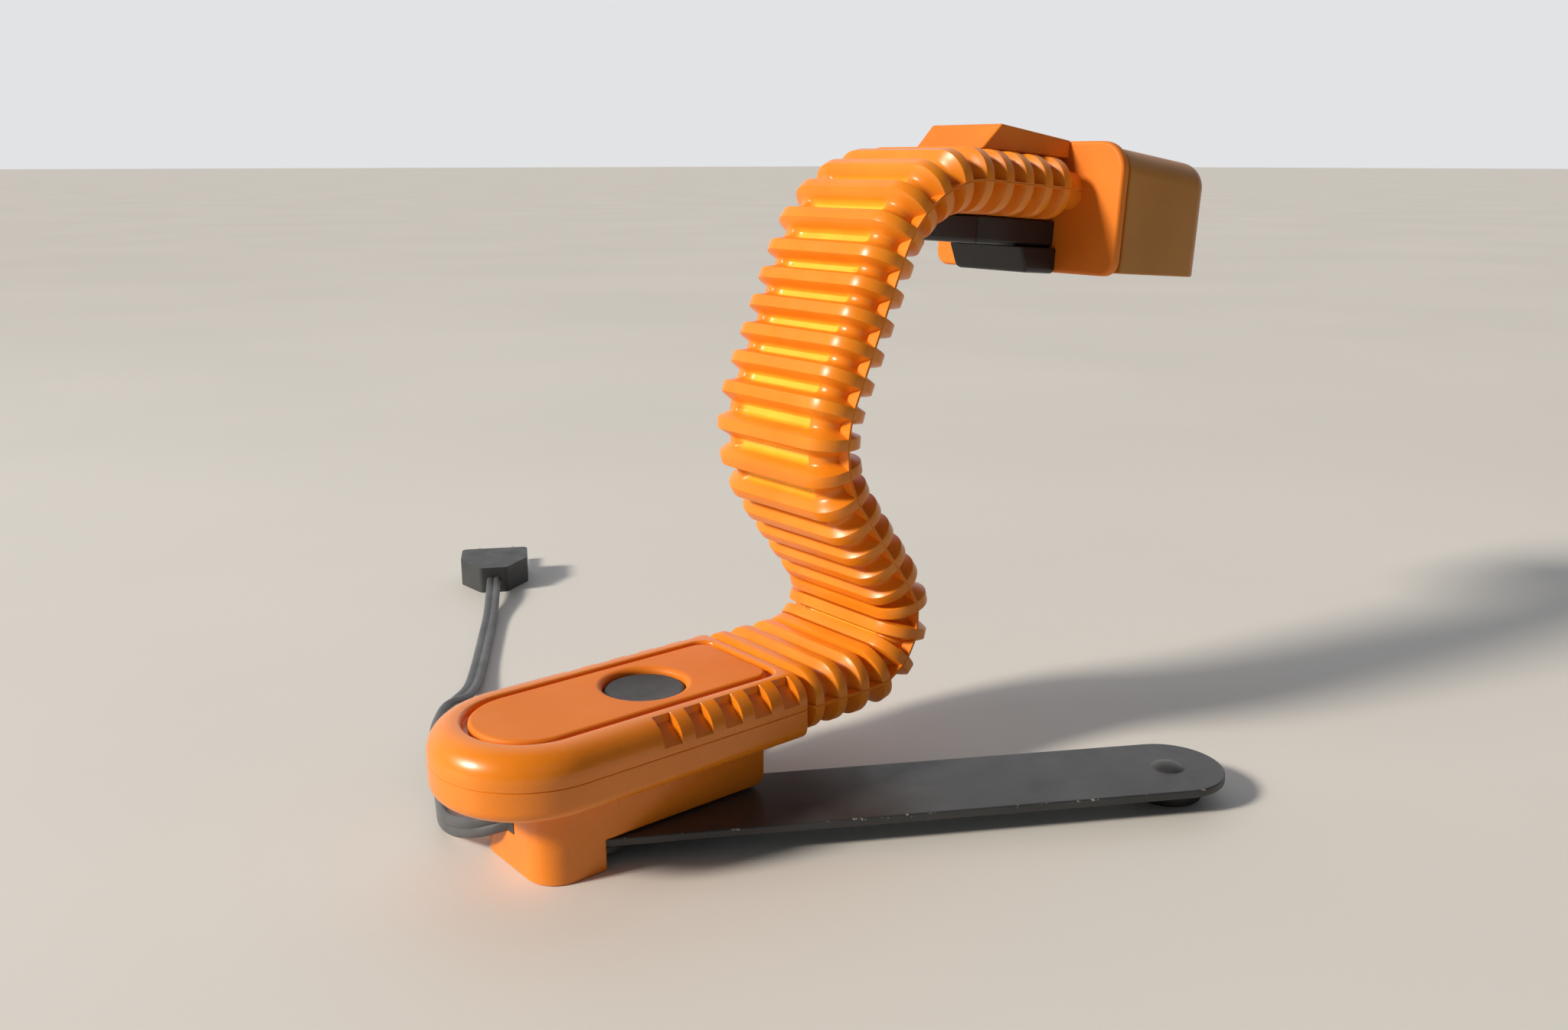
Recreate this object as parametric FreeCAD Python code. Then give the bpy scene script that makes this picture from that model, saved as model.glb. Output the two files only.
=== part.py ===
import FreeCAD, Part

import math
import os

# Accordion desk lamp. Millimetres. The origin is on the table, under the centre of the foot block.
# +X runs from the round nose to the head, +Y to the left of someone looking from the nose, +Z up.

Vector = FreeCAD.Vector
X_AXIS = Vector(1, 0, 0)
Y_AXIS = Vector(0, 1, 0)
Z_AXIS = Vector(0, 0, 1)
TINY = 0.01

# Clearances
running_gap = 0.3
seat_gap = 0.3
pin_clearance = 0.15
screw_clearance = 0.05

# Base housing
nose_centre_x = -1.3
housing_half_width = 33.4
housing_rear_x = 87.8
housing_top_z = 50.5
housing_seam_z = 39.2
housing_floor_z = 28.0
housing_wall = 2.0
housing_top_radius = 9.0
housing_bottom_radius = 4.5

# Side notches that carry the accordion on over the rear half of the housing
notch_count = 5
notch_pitch = 12.3
notch_length = 6.8
notch_last_end_x = 83.8
notch_inner_y = 26.0
notch_wall_low_z = 47.6
notch_mouth_low_z = 42.0
notch_wall = 2.0

# Top panel, its groove and the push button
panel_half_width = 20.1
panel_rear_x = 82.4
panel_rear_radius = 6.0
panel_thickness = 3.0
panel_groove = 2.0
panel_floor_thickness = 2.0
button_x = 42.3
button_radius = 14.0
button_dish_radius = 16.5
button_dish_depth = 1.6
button_top_z = 48.6
button_wall = 2.0
button_skirt_z = 45.2
button_flange_width = 1.4
button_flange_height = 1.0
button_stem_radius = 3.0
button_travel = 3.0
button_hole_gap = 0.4
switch_length = 24.0
switch_width = 16.0
switch_top_z = 37.0
spring_radius = 6.0
spring_wire = 0.9

# Keel box under the housing, and the foot block
block_front_x = -11.6
block_rear_x = 11.6
keel_rear_x = 76.9
keel_half_width = 22.5
keel_bottom_z = 10.8
keel_floor = 2.2
keel_wall = 2.0
keel_front_radius = 11.0
block_pocket_front_x = -9.4
block_wall_y = 1.8
block_floor = 1.7
cord_window_height = 7.6
cord_window_right_y = -3.3
cord_window_left_y = 12.0
cord_bush_depth = 8.0

# Legs
leg_pivot_x = 16.2
leg_half_width = 20.0
leg_thickness = 3.0
leg_washer = 0.5
leg_washer_radius = 8.0
leg_reach = 210.5
right_leg_angle = -29.7
left_leg_angle = 27.7
pivot_shank_radius = 2.5
pivot_bore_clearance = 0.15
pivot_head_radius = 6.0
pivot_head_height = 1.6
pivot_relief_radius = 7.5
pivot_nut_radius = 5.5
pivot_nut_height = 4.0
foot_radius = 12.3
rivet_head_radius = 6.0
rivet_head_height = 1.8
rivet_shank_radius = 2.5
rivet_end_z = 1.4

# Inside the base
ballast_front_x = 30.0
ballast_rear_x = 72.0
ballast_half_width = 19.0
ballast_height = 11.0
terminal_length = 12.0
terminal_width = 18.0
terminal_height = 8.0
terminal_x = -20.0
clamp_bar_x = 0.0
clamp_bar_length = 5.0
clamp_bar_half_width = 13.0
clamp_bar_height = 3.0
base_screw_radius = 1.5
base_screw_head_radius = 3.0
base_screw_head_height = 1.6
base_screw_length = 12.0
base_screw_y = 15.0
base_screw_front_x = 2.0
base_screw_rear_x = 66.0
base_boss_radius = 4.0

# Neck: a centreline of straights and arcs in the XZ plane. Each stretch is (length, radius, turn in
# degrees); an arc has no length of its own, and a positive turn lifts the heading.
neck_start_x = 86.3
neck_stretches = [
    (33.5, 0.0, 0.0),
    (0.0, 21.0, 126.0),
    (40.8, 0.0, 0.0),
    (0.0, 38.3, -60.0),
    (52.8, 0.0, 0.0),
    (0.0, 41.6, -70.5),
    (57.0, 0.0, 0.0),
]
rib_half_width = 33.0
rib_half_depth = 11.5
rib_corner = 11.0
rib_thickness = 4.2
rib_bevel = 0.9
rib_pitch = 10.7
first_rib_at = 7.5
valley_half_width = 28.0
valley_half_depth = 7.5
valley_corner = 7.0
cover_wall = 1.6
fin_half_thickness = 0.75
ribs_on_base = 1
ribs_per_group = 4
neck_group_count = 7
stub_length = 1.2

# Jointed chain inside the neck
link_half_depth = 2.5
eye_radius = 4.0
eye_half_width = 6.0
cheek_thickness = 4.0
link_pin_radius = 1.5
link_pin_length = 3.0
web_thickness = 1.6
wire_hole_radius = 3.5
wire_hole_y = 17.0
anchor_foot_front_x = 58.0
anchor_foot_half_width = 14.0
anchor_foot_height = 3.0

# Head, in its own axes: x forward from the end of the neck, z square to the neck. Pitched nose down.
plate_thickness = 4.0
plate_half_width = 46.0
plate_top_z = 18.5
plate_bottom_z = -31.3
plate_top_radius = 11.5
plate_bottom_radius = 6.0
groove_width = 2.0
groove_depth = 3.0
spigot_wall = 2.0
shade_length = 54.0
shade_half_width = 45.0
shade_top_rear_z = 16.7
shade_top_front_z = 13.9
shade_bottom_z = -30.0
shade_radius = 10.0
shade_wall = 2.0
hood_length = 46.0
hood_slope = 9.0
hood_rear_top_z = 21.5
hood_front_top_z = 18.6
hood_bottom_z = 12.0
hood_rear_half_width = 17.2
hood_front_half_width = 20.3
hood_wall = 2.0
clamp_length = 44.0
clamp_half_width = 16.5
clamp_bottom_z = -22.0
cover_length = 21.4
cover_half_width = 18.5
cover_bottom_z = -31.8
cover_lean = 5.0
small_box_wall = 2.0
small_edge_radius = 2.0
bulb_axis_z = -13.5
holder_radius = 11.0
holder_length = 20.0
holder_bore_depth = 16.0
bulb_cap_radius = 6.9
bulb_cap_length = 17.0
bulb_radius = 11.0
bulb_glass_length = 29.0
bulb_glass_wall = 0.8
reflector_thickness = 0.8
head_screw_radius = 1.5
head_screw_head_radius = 2.8
head_screw_head_height = 1.5
head_screw_depth = 6.0
head_screw_y = 34.0
head_screw_z = -6.0

# Cord and plug
cord_diameter = 4.6
cord_floor_gap = 0.05
cord_start = (-5.8, -1.6, 17.9)
lead_points = [
    (-12.4, 2.4, 15.7),
    (-17.0, 10.0, 12.0),
    (-19.3, 21.0, 7.9),
    (-18.2, 35.5, 4.8),
    (-11.8, 50.5, 3.2),
]
coil_centre_x = 32.0
coil_centre_y = 74.5
coil_outer_radius = 30.0
coil_turn_pitch = 5.2
coil_layer_rise = 5.15
coil_layers = 4
coil_turns_per_layer = 2.5
coil_entry_angle = 151.0
tail_points = [
    (24.8, 119.8, 12.6),
    (42.5, 134.5, 7.6),
    (61.0, 163.5, 3.6),
    (81.5, 196.5, 2.5),
    (100.5, 227.0, 2.5),
    (114.0, 250.0, 6.85),
]
plug_entry = (122.4, 265.0, 6.85)
plug_length = 38.0
plug_width = 35.3
plug_thickness = 13.7
plug_tail_width = 14.0
plug_pin_radius = 2.0
plug_pin_length = 19.0
plug_pin_spacing = 18.6
plug_pin_root = 3.0

made = {}


def box(x0, x1, y0, y1, z0, z1):
    return Part.makeBox(x1 - x0, y1 - y0, z1 - z0, Vector(x0, y0, z0))


def post(radius, x, y, z0, z1):
    return Part.makeCylinder(radius, z1 - z0, Vector(x, y, z0), Z_AXIS)


def closed(points):
    """A closed wire of straight edges."""
    return Part.makePolygon(list(points) + [points[0]])


def prism(wire, direction):
    return Part.Face(wire).extrude(direction)


def edges_where(shape, test):
    """The straight or curved edges whose middle point passes the test."""
    found = []
    for edge in shape.Edges:
        middle = edge.valueAt((edge.FirstParameter + edge.LastParameter) / 2)
        if test(middle, edge):
            found.append(edge)
    return found


def is_along(edge, direction):
    ends = [vertex.Point for vertex in edge.Vertexes]
    if len(ends) < 2:
        return False
    span = ends[1] - ends[0]
    return span.Length > TINY and abs(span.normalize().dot(direction)) > 0.999


# ---------------------------------------------------------------- base housing


def plan(half_width, rear_x, z, height):
    """The housing's plan: a half round nose, straight sides and a square rear end."""
    nose = Part.Arc(
        Vector(nose_centre_x, half_width, z),
        Vector(nose_centre_x - half_width, 0, z),
        Vector(nose_centre_x, -half_width, z),
    ).toShape()
    right = Part.makeLine(Vector(nose_centre_x, -half_width, z), Vector(rear_x, -half_width, z))
    rear = Part.makeLine(Vector(rear_x, -half_width, z), Vector(rear_x, half_width, z))
    left = Part.makeLine(Vector(rear_x, half_width, z), Vector(nose_centre_x, half_width, z))
    return prism(Part.Wire([nose, right, rear, left]), Vector(0, 0, height))


def rim_edges(solid, z, rear_x):
    """The plan's edges at that height, without the rear one."""
    return edges_where(solid, lambda at, edge: abs(at.z - z) < TINY and at.x < rear_x - TINY)


def rear_corners(solid, rear_x):
    return edges_where(
        solid, lambda at, edge: is_along(edge, Z_AXIS) and abs(at.x - rear_x) < TINY
    )


def panel_outline(grow, z, height):
    half_width = panel_half_width + grow
    rear_x = panel_rear_x + min(grow, housing_rear_x - panel_rear_x - TINY)
    solid = plan(half_width, rear_x, z, height)
    return solid.makeFillet(panel_rear_radius, rear_corners(solid, rear_x))


def neck_opening(x0, x1, grow=0.0):
    """The opening for the neck's inner chain through the housing's rear wall."""
    half_width = valley_half_width - cover_wall + grow
    half_depth = valley_half_depth - cover_wall + grow
    return box(x0, x1, -half_width, half_width, housing_seam_z - half_depth, housing_seam_z + half_depth)


def base_screw_places():
    for x in (base_screw_front_x, base_screw_rear_x):
        for y in (-base_screw_y, base_screw_y):
            yield x, y


recess_floor_z = housing_top_z - panel_thickness
recess_under_z = recess_floor_z - panel_floor_thickness
notch_zone_x = notch_last_end_x - (notch_count - 1) * notch_pitch - notch_length


def side_notch(end_x, side):
    """A notch with an upright inner wall and a floor that slants down to the housing's side."""
    beyond_y = housing_half_width + 1
    slant = (notch_wall_low_z - notch_mouth_low_z) / (housing_half_width - notch_inner_y)
    profile = [
        (notch_inner_y, housing_top_z + 1),
        (notch_inner_y, notch_wall_low_z),
        (beyond_y, notch_mouth_low_z - slant),
        (beyond_y, housing_top_z + 1),
    ]
    corners = [Vector(end_x - notch_length, side * y, z) for y, z in profile]
    return prism(closed(corners), Vector(notch_length, 0, 0))


def make_top_shell():
    height = housing_top_z - housing_seam_z
    outer = plan(housing_half_width, housing_rear_x, housing_seam_z, height)
    outer = outer.makeFillet(housing_top_radius, rim_edges(outer, housing_top_z, housing_rear_x))
    for index in range(notch_count):
        end_x = notch_last_end_x - index * notch_pitch
        for side in (-1, 1):
            outer = outer.cut(side_notch(end_x, side))

    nose_half_width = housing_half_width - housing_wall
    inner_top_z = housing_top_z - housing_wall
    nose_rear_x = notch_zone_x - notch_wall
    inner = plan(nose_half_width, nose_rear_x, housing_seam_z - 1, inner_top_z - housing_seam_z + 1)
    inner_rim = rim_edges(inner, inner_top_z, nose_rear_x)
    inner = inner.makeFillet(housing_top_radius - housing_wall, inner_rim)
    rear_inner = box(
        0,
        housing_rear_x - housing_wall,
        -notch_inner_y + notch_wall,
        notch_inner_y - notch_wall,
        housing_seam_z - 1,
        inner_top_z,
    )
    shell = outer.cut(inner.fuse(rear_inner))

    floor = panel_outline(panel_groove + housing_wall, recess_under_z, inner_top_z - recess_under_z + TINY)
    floor = floor.common(box(-99, housing_rear_x - housing_wall, -99, 99, 0, 99))
    shell = shell.fuse(floor)
    tray_floor_z = housing_floor_z + housing_wall
    for x, y in base_screw_places():
        shell = shell.fuse(post(base_boss_radius, x, y, tray_floor_z, recess_under_z + TINY))
    shell = shell.cut(panel_outline(panel_groove, recess_floor_z, panel_thickness + 1))
    shell = shell.cut(post(button_radius + button_hole_gap, button_x, 0, recess_under_z - 1, housing_top_z))
    shell = shell.cut(neck_opening(housing_rear_x - housing_wall - 1, housing_rear_x + 1))
    for x, y in base_screw_places():
        hole_top = housing_floor_z + base_screw_length
        shell = shell.cut(post(base_screw_radius + screw_clearance, x, y, housing_floor_z, hole_top))
    return shell.removeSplitter()


def make_tray():
    height = housing_seam_z - housing_floor_z
    outer = plan(housing_half_width, housing_rear_x, housing_floor_z, height)
    outer = outer.makeFillet(housing_bottom_radius, rim_edges(outer, housing_floor_z, housing_rear_x))
    floor_z = housing_floor_z + housing_wall
    inner_rear_x = housing_rear_x - housing_wall
    inner = plan(housing_half_width - housing_wall, inner_rear_x, floor_z, housing_seam_z - floor_z + 1)
    inner_edges = rim_edges(inner, floor_z, inner_rear_x)
    inner = inner.makeFillet(housing_bottom_radius - housing_wall, inner_edges)
    tray = outer.cut(inner)
    tray = tray.cut(neck_opening(housing_rear_x - housing_wall - 1, housing_rear_x + 1))
    for x, y in base_screw_places():
        tray = tray.cut(post(base_screw_radius + screw_clearance, x, y, housing_floor_z - 1, floor_z + 1))
    tray = tray.cut(post(pivot_nut_radius, leg_pivot_x, 0, housing_floor_z - 1, floor_z + 1))
    return tray


def make_panel():
    panel = panel_outline(0, recess_floor_z, panel_thickness)
    dish = Part.makeCone(
        button_radius + button_hole_gap,
        button_dish_radius,
        button_dish_depth,
        Vector(button_x, 0, housing_top_z - button_dish_depth),
        Z_AXIS,
    )
    hole = post(button_radius + button_hole_gap, button_x, 0, recess_floor_z - 1, housing_top_z + 1)
    return panel.cut(dish).cut(hole)


def make_button():
    cap = post(button_radius, button_x, 0, button_skirt_z, button_top_z)
    rim = edges_where(cap, lambda at, edge: abs(at.z - button_top_z) < TINY)
    cap = cap.makeFillet(0.8, rim)
    hollow_top = button_top_z - button_wall
    cap = cap.cut(post(button_radius - button_wall, button_x, 0, button_skirt_z - 1, hollow_top))
    flange_top = recess_under_z - 0.1
    flange_outer = button_radius + button_flange_width
    flange = post(flange_outer, button_x, 0, flange_top - button_flange_height, flange_top)
    flange = flange.cut(post(button_radius - button_wall, button_x, 0, 0, housing_top_z))
    skirt = post(button_radius, button_x, 0, flange_top - button_flange_height, button_skirt_z + TINY)
    skirt = skirt.cut(post(button_radius - button_wall, button_x, 0, 0, housing_top_z))
    stem_low_z = switch_top_z + button_travel + seat_gap
    stem = post(button_stem_radius, button_x, 0, stem_low_z, hollow_top + TINY)
    return cap.fuse([flange, skirt, stem]).removeSplitter()


def make_button_spring():
    top_z = button_top_z - button_wall
    sleeve = post(spring_radius, button_x, 0, switch_top_z, top_z)
    return sleeve.cut(post(spring_radius - spring_wire, button_x, 0, switch_top_z - 1, top_z + 1))


def cord_window(x0, x1):
    """The cord's notch in the front wall, level with the keel's floor."""
    low_z = keel_bottom_z + keel_floor
    return box(x0, x1, cord_window_right_y, cord_window_left_y, low_z, low_z + cord_window_height)


def make_keel():
    keel = box(block_front_x, keel_rear_x, -keel_half_width, keel_half_width, keel_bottom_z, housing_floor_z)
    block = box(block_front_x, block_rear_x, -keel_half_width, keel_half_width, 0, keel_bottom_z)
    solid = keel.fuse(block).removeSplitter()
    corners = edges_where(
        solid, lambda at, edge: is_along(edge, Z_AXIS) and abs(at.x - block_front_x) < TINY
    )
    solid = solid.makeFillet(keel_front_radius, corners)

    inner_y = keel_half_width - keel_wall
    room = box(
        block_front_x + keel_wall,
        keel_rear_x - keel_wall,
        -inner_y,
        inner_y,
        keel_bottom_z + keel_floor,
        housing_floor_z + 1,
    )
    front = edges_where(
        room, lambda at, edge: is_along(edge, Z_AXIS) and abs(at.x - block_front_x - keel_wall) < TINY
    )
    solid = solid.cut(room.makeFillet(keel_front_radius - keel_wall, front))

    pocket_y = keel_half_width - block_wall_y
    pocket = box(block_pocket_front_x, block_rear_x + 1, -pocket_y, pocket_y, block_floor, keel_bottom_z)
    front = edges_where(
        pocket, lambda at, edge: is_along(edge, Z_AXIS) and abs(at.x - block_pocket_front_x) < TINY
    )
    solid = solid.cut(pocket.makeFillet(keel_front_radius - keel_wall, front))
    solid = solid.cut(post(pivot_relief_radius, leg_pivot_x, 0, -1, block_floor + 1))
    solid = solid.cut(post(pivot_shank_radius + pivot_bore_clearance, leg_pivot_x, 0, 5, keel_bottom_z + 5))
    return solid.cut(cord_window(block_front_x - 1, block_front_x + keel_wall + 1))


# ---------------------------------------------------------------- legs

upper_leg_z = keel_bottom_z - leg_washer - leg_thickness
lower_leg_z = upper_leg_z - leg_washer - leg_thickness
pivot_head_top_z = lower_leg_z - leg_washer


def swing(shape, angle):
    turned = shape.copy()
    turned.rotate(Vector(leg_pivot_x, 0, 0), Z_AXIS, angle)
    return turned


def make_leg(z, angle):
    far_x = leg_pivot_x + leg_reach
    top = z + leg_thickness
    leg = post(leg_half_width, leg_pivot_x, 0, z, top)
    leg = leg.fuse(post(leg_half_width, far_x, 0, z, top))
    leg = leg.fuse(box(leg_pivot_x, far_x, -leg_half_width, leg_half_width, z, top)).removeSplitter()
    leg = leg.cut(post(pivot_shank_radius + pivot_bore_clearance, leg_pivot_x, 0, z - 1, top + 1))
    leg = leg.cut(post(rivet_shank_radius + screw_clearance, far_x, 0, z - 1, top + 1))
    return swing(leg, angle)


def make_foot(height, angle):
    far_x = leg_pivot_x + leg_reach
    foot = post(foot_radius, far_x, 0, 0, height)
    foot = foot.cut(post(rivet_shank_radius + screw_clearance, far_x, 0, rivet_end_z - 0.3, height + 1))
    return swing(foot, angle)


def make_rivet(leg_top, angle):
    far_x = leg_pivot_x + leg_reach
    shank = post(rivet_shank_radius, far_x, 0, rivet_end_z, leg_top)
    ball_radius = (rivet_head_radius**2 + rivet_head_height**2) / (2 * rivet_head_height)
    ball = Part.makeSphere(ball_radius, Vector(far_x, 0, leg_top + rivet_head_height - ball_radius))
    dome = ball.common(post(rivet_head_radius, far_x, 0, leg_top, leg_top + rivet_head_height + 1))
    return swing(shank.fuse(dome), angle)


def make_pivot_screw():
    top_z = keel_bottom_z + keel_floor + pivot_nut_height
    shank = post(pivot_shank_radius, leg_pivot_x, 0, pivot_head_top_z - TINY, top_z)
    head = post(pivot_head_radius, leg_pivot_x, 0, pivot_head_top_z - pivot_head_height, pivot_head_top_z)
    return head.fuse(shank)


def make_pivot_nut():
    z = keel_bottom_z + keel_floor
    corners = []
    for index in range(6):
        angle = math.radians(60 * index)
        corners.append(
            Vector(leg_pivot_x + pivot_nut_radius * math.cos(angle), pivot_nut_radius * math.sin(angle), z)
        )
    nut = prism(closed(corners), Vector(0, 0, pivot_nut_height))
    return nut.cut(post(pivot_shank_radius, leg_pivot_x, 0, z - 1, z + pivot_nut_height + 1))


def make_washers():
    rings = []
    for low_z in (pivot_head_top_z, lower_leg_z + leg_thickness, upper_leg_z + leg_thickness):
        ring = post(leg_washer_radius, leg_pivot_x, 0, low_z, low_z + leg_washer)
        bore = post(pivot_shank_radius + pivot_bore_clearance, leg_pivot_x, 0, low_z - 1, low_z + 1)
        rings.append(ring.cut(bore))
    return Part.makeCompound(rings)


# ---------------------------------------------------------------- inside the base


def make_switch():
    half_length = switch_length / 2
    half_width = switch_width / 2
    z = housing_floor_z + housing_wall
    return box(button_x - half_length, button_x + half_length, -half_width, half_width, z, switch_top_z)


def make_terminal_block():
    z = housing_floor_z + housing_wall
    block = box(
        terminal_x - terminal_length / 2,
        terminal_x + terminal_length / 2,
        -terminal_width / 2,
        terminal_width / 2,
        z,
        z + terminal_height,
    )
    for side in (-1, 1):
        y = side * terminal_width / 4
        block = block.cut(post(1.6, terminal_x, y, z + terminal_height / 2, z + terminal_height + 1))
    return block


def make_ballast():
    z = keel_bottom_z + keel_floor
    return box(
        ballast_front_x, ballast_rear_x, -ballast_half_width, ballast_half_width, z, z + ballast_height
    )


def make_cord_clamp():
    z = keel_bottom_z + keel_floor
    return box(
        clamp_bar_x - clamp_bar_length / 2,
        clamp_bar_x + clamp_bar_length / 2,
        -clamp_bar_half_width,
        clamp_bar_half_width,
        z,
        z + clamp_bar_height,
    )


def make_base_screws():
    screws = []
    low_z = housing_floor_z - base_screw_head_height
    tip_z = housing_floor_z + base_screw_length - 1
    for x, y in base_screw_places():
        head = post(base_screw_head_radius, x, y, low_z, housing_floor_z)
        shank = post(base_screw_radius, x, y, housing_floor_z - TINY, tip_z)
        screws.append(head.fuse(shank))
    return Part.makeCompound(screws)


# ---------------------------------------------------------------- neck


def neck_frame(at):
    """The centreline's point, heading and normal at that distance from its start."""
    place = Vector(neck_start_x, 0, housing_seam_z)
    heading = 0.0
    left = at
    for length, radius, turn in neck_stretches:
        arc_length = radius * math.radians(abs(turn))
        whole = length + arc_length
        step = min(left, whole)
        along = Vector(math.cos(heading), 0, math.sin(heading))
        across = Vector(-math.sin(heading), 0, math.cos(heading))
        if radius == 0:
            place = place + along * step
        else:
            side = 1 if turn > 0 else -1
            swept = step / radius
            place = place + along * (radius * math.sin(swept))
            place = place + across * (side * radius * (1 - math.cos(swept)))
            heading += side * swept
        left -= step
        if left <= 0 and at >= 0:
            break
    if at < 0:
        place = Vector(neck_start_x + at, 0, housing_seam_z)
        heading = 0.0
    tangent = Vector(math.cos(heading), 0, math.sin(heading))
    normal = Vector(-math.sin(heading), 0, math.cos(heading))
    return place, tangent, normal, heading


neck_length = sum(length + radius * math.radians(abs(turn)) for length, radius, turn in neck_stretches)


def moved(frame, along):
    """The same frame, moved along its own heading."""
    place, tangent, normal, heading = frame
    return place + tangent * along, tangent, normal, heading


def at_frame(frame, y, depth):
    return frame[0] + Y_AXIS * y + frame[2] * depth


def half_outline(frame, side, half_width, half_depth, corner):
    """One half of a rounded rectangle, from the mid plane to the front (side 1) or back (side -1)."""

    def point(y, depth):
        return at_frame(frame, y, side * depth)

    straight = half_depth - corner
    slant = corner * math.sqrt(0.5)
    left_mid = point(-half_width + corner - slant, straight + slant)
    right_mid = point(half_width - corner + slant, straight + slant)
    left_low = point(-half_width, 0)
    left_high = point(-half_width, straight)
    top_left = point(-half_width + corner, half_depth)
    top_right = point(half_width - corner, half_depth)
    right_high = point(half_width, straight)
    right_low = point(half_width, 0)
    return Part.Wire(
        [
            Part.makeLine(left_low, left_high),
            Part.Arc(left_high, left_mid, top_left).toShape(),
            Part.makeLine(top_left, top_right),
            Part.Arc(top_right, right_mid, right_high).toShape(),
            Part.makeLine(right_high, right_low),
            Part.makeLine(right_low, left_low),
        ]
    )


def full_outline(frame, half_width, half_depth, corner):
    """A whole rounded rectangle across the neck."""
    slant = corner * (1 - math.sqrt(0.5))
    edges = []
    ends = []
    for y_side, depth_side in ((-1, 1), (1, 1), (1, -1), (-1, -1)):
        up = at_frame(frame, y_side * half_width, depth_side * (half_depth - corner))
        middle = at_frame(frame, y_side * (half_width - slant), depth_side * (half_depth - slant))
        across = at_frame(frame, y_side * (half_width - corner), depth_side * half_depth)
        if y_side == depth_side:
            up, across = across, up
        ends.append((up, middle, across))
    for index, (start, middle, end) in enumerate(ends):
        edges.append(Part.Arc(start, middle, end).toShape())
        edges.append(Part.makeLine(end, ends[(index + 1) % 4][0]))
    return Part.Wire(edges)


def slab_outline(frame, half_width, low, high):
    corners = [(-half_width, low), (half_width, low), (half_width, high), (-half_width, high)]
    return closed([at_frame(frame, y, depth) for y, depth in corners])


def ruled(wires):
    return Part.makeLoft(wires, True, True)


def rib_half(frame, side):
    """A rib's half, a plate with bevelled edges: a ruled loft through four outlines."""
    outlines = []
    half = rib_thickness / 2
    flat = half - rib_bevel
    for along, inset in ((-half, rib_bevel), (-flat, 0), (flat, 0), (half, rib_bevel)):
        outlines.append(
            half_outline(
                moved(frame, along), side, rib_half_width - inset, rib_half_depth - inset, rib_corner - inset
            )
        )
    return ruled(outlines)


def rib_at(index):
    """The frame of a rib, counted from 1 at the base."""
    return neck_frame(first_rib_at + (index - 1) * rib_pitch)


def hinge_at(index):
    """The frame of a hinge, counted from 1 at the base, half way between two ribs."""
    ribs_below = ribs_on_base + (index - 1) * ribs_per_group
    return neck_frame(first_rib_at + (ribs_below - 0.5) * rib_pitch)


def group_ribs(group):
    """The ribs of a group; group 0 is the part on the base."""
    if group == 0:
        return list(range(1, ribs_on_base + 1))
    first = ribs_on_base + (group - 1) * ribs_per_group + 1
    return list(range(first, first + ribs_per_group))


def group_frames(group):
    """Frames along a group: its start, the middle of each rib, and its end."""
    ribs = [rib_at(index) for index in group_ribs(group)]
    reach = rib_thickness / 2 + stub_length
    start = moved(ribs[0], -reach)
    end = moved(ribs[-1], reach)
    if group == 0:
        start = neck_frame(housing_rear_x - neck_start_x)
    if group == neck_group_count:
        end = neck_frame(neck_length)
    return [start] + ribs + [end]


def room_in(frames):
    """The space inside a cover, a little longer than the cover."""
    beyond = [moved(frames[0], -1)] + frames[1:-1] + [moved(frames[-1], 1)]
    half_width = valley_half_width - cover_wall
    half_depth = valley_half_depth - cover_wall
    corner = valley_corner - cover_wall
    return ruled([full_outline(frame, half_width, half_depth, corner) for frame in beyond])


def cover_half(group, side):
    """One half of a group's cover: valley walls, side fins and ribs, hollow inside."""
    frames = group_frames(group)
    valley = ruled(
        [half_outline(frame, side, valley_half_width, valley_half_depth, valley_corner) for frame in frames]
    )
    low, high = sorted((0, side * fin_half_thickness))
    fin = ruled([slab_outline(frame, rib_half_width, low, high) for frame in frames])
    ribs = [rib_half(rib_at(index), side) for index in group_ribs(group)]
    body = valley.fuse([fin] + ribs)
    return body.cut(room_in(frames))


link_half_width = eye_half_width + seat_gap + cheek_thickness


def barrel(frame, radius, y0, y1):
    place = frame[0]
    return Part.makeCylinder(radius, y1 - y0, Vector(place.x, y0, place.z), Y_AXIS)


def strip(frames, y0, y1, half_depth):
    """A bar of even section through the frames."""
    wires = []
    for frame in frames:
        corners = [(y0, -half_depth), (y1, -half_depth), (y1, half_depth), (y0, half_depth)]
        wires.append(closed([at_frame(frame, y, depth) for y, depth in corners]))
    return ruled(wires)


def eye_end(hinge, first_rib):
    """The eye that turns on a hinge pin, and the tongue that carries it."""
    eye = barrel(hinge, eye_radius, -eye_half_width, eye_half_width)
    tongue = strip([hinge, moved(first_rib, TINY)], -eye_half_width, eye_half_width, link_half_depth)
    bore = barrel(hinge, link_pin_radius + pin_clearance, -eye_half_width - 1, eye_half_width + 1)
    return eye.fuse(tongue), bore


def fork_end(last_rib, hinge):
    """Two cheeks with inward pins around the next link's eye."""
    pieces = []
    inner = eye_half_width + seat_gap
    for side in (-1, 1):
        y0, y1 = sorted((side * inner, side * link_half_width))
        pieces.append(strip([moved(last_rib, -TINY), hinge], y0, y1, link_half_depth))
        pieces.append(barrel(hinge, eye_radius, y0, y1))
        pin0, pin1 = sorted((side * (inner - link_pin_length), side * (inner + TINY)))
        pieces.append(barrel(hinge, link_pin_radius, pin0, pin1))
    return pieces


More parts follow.
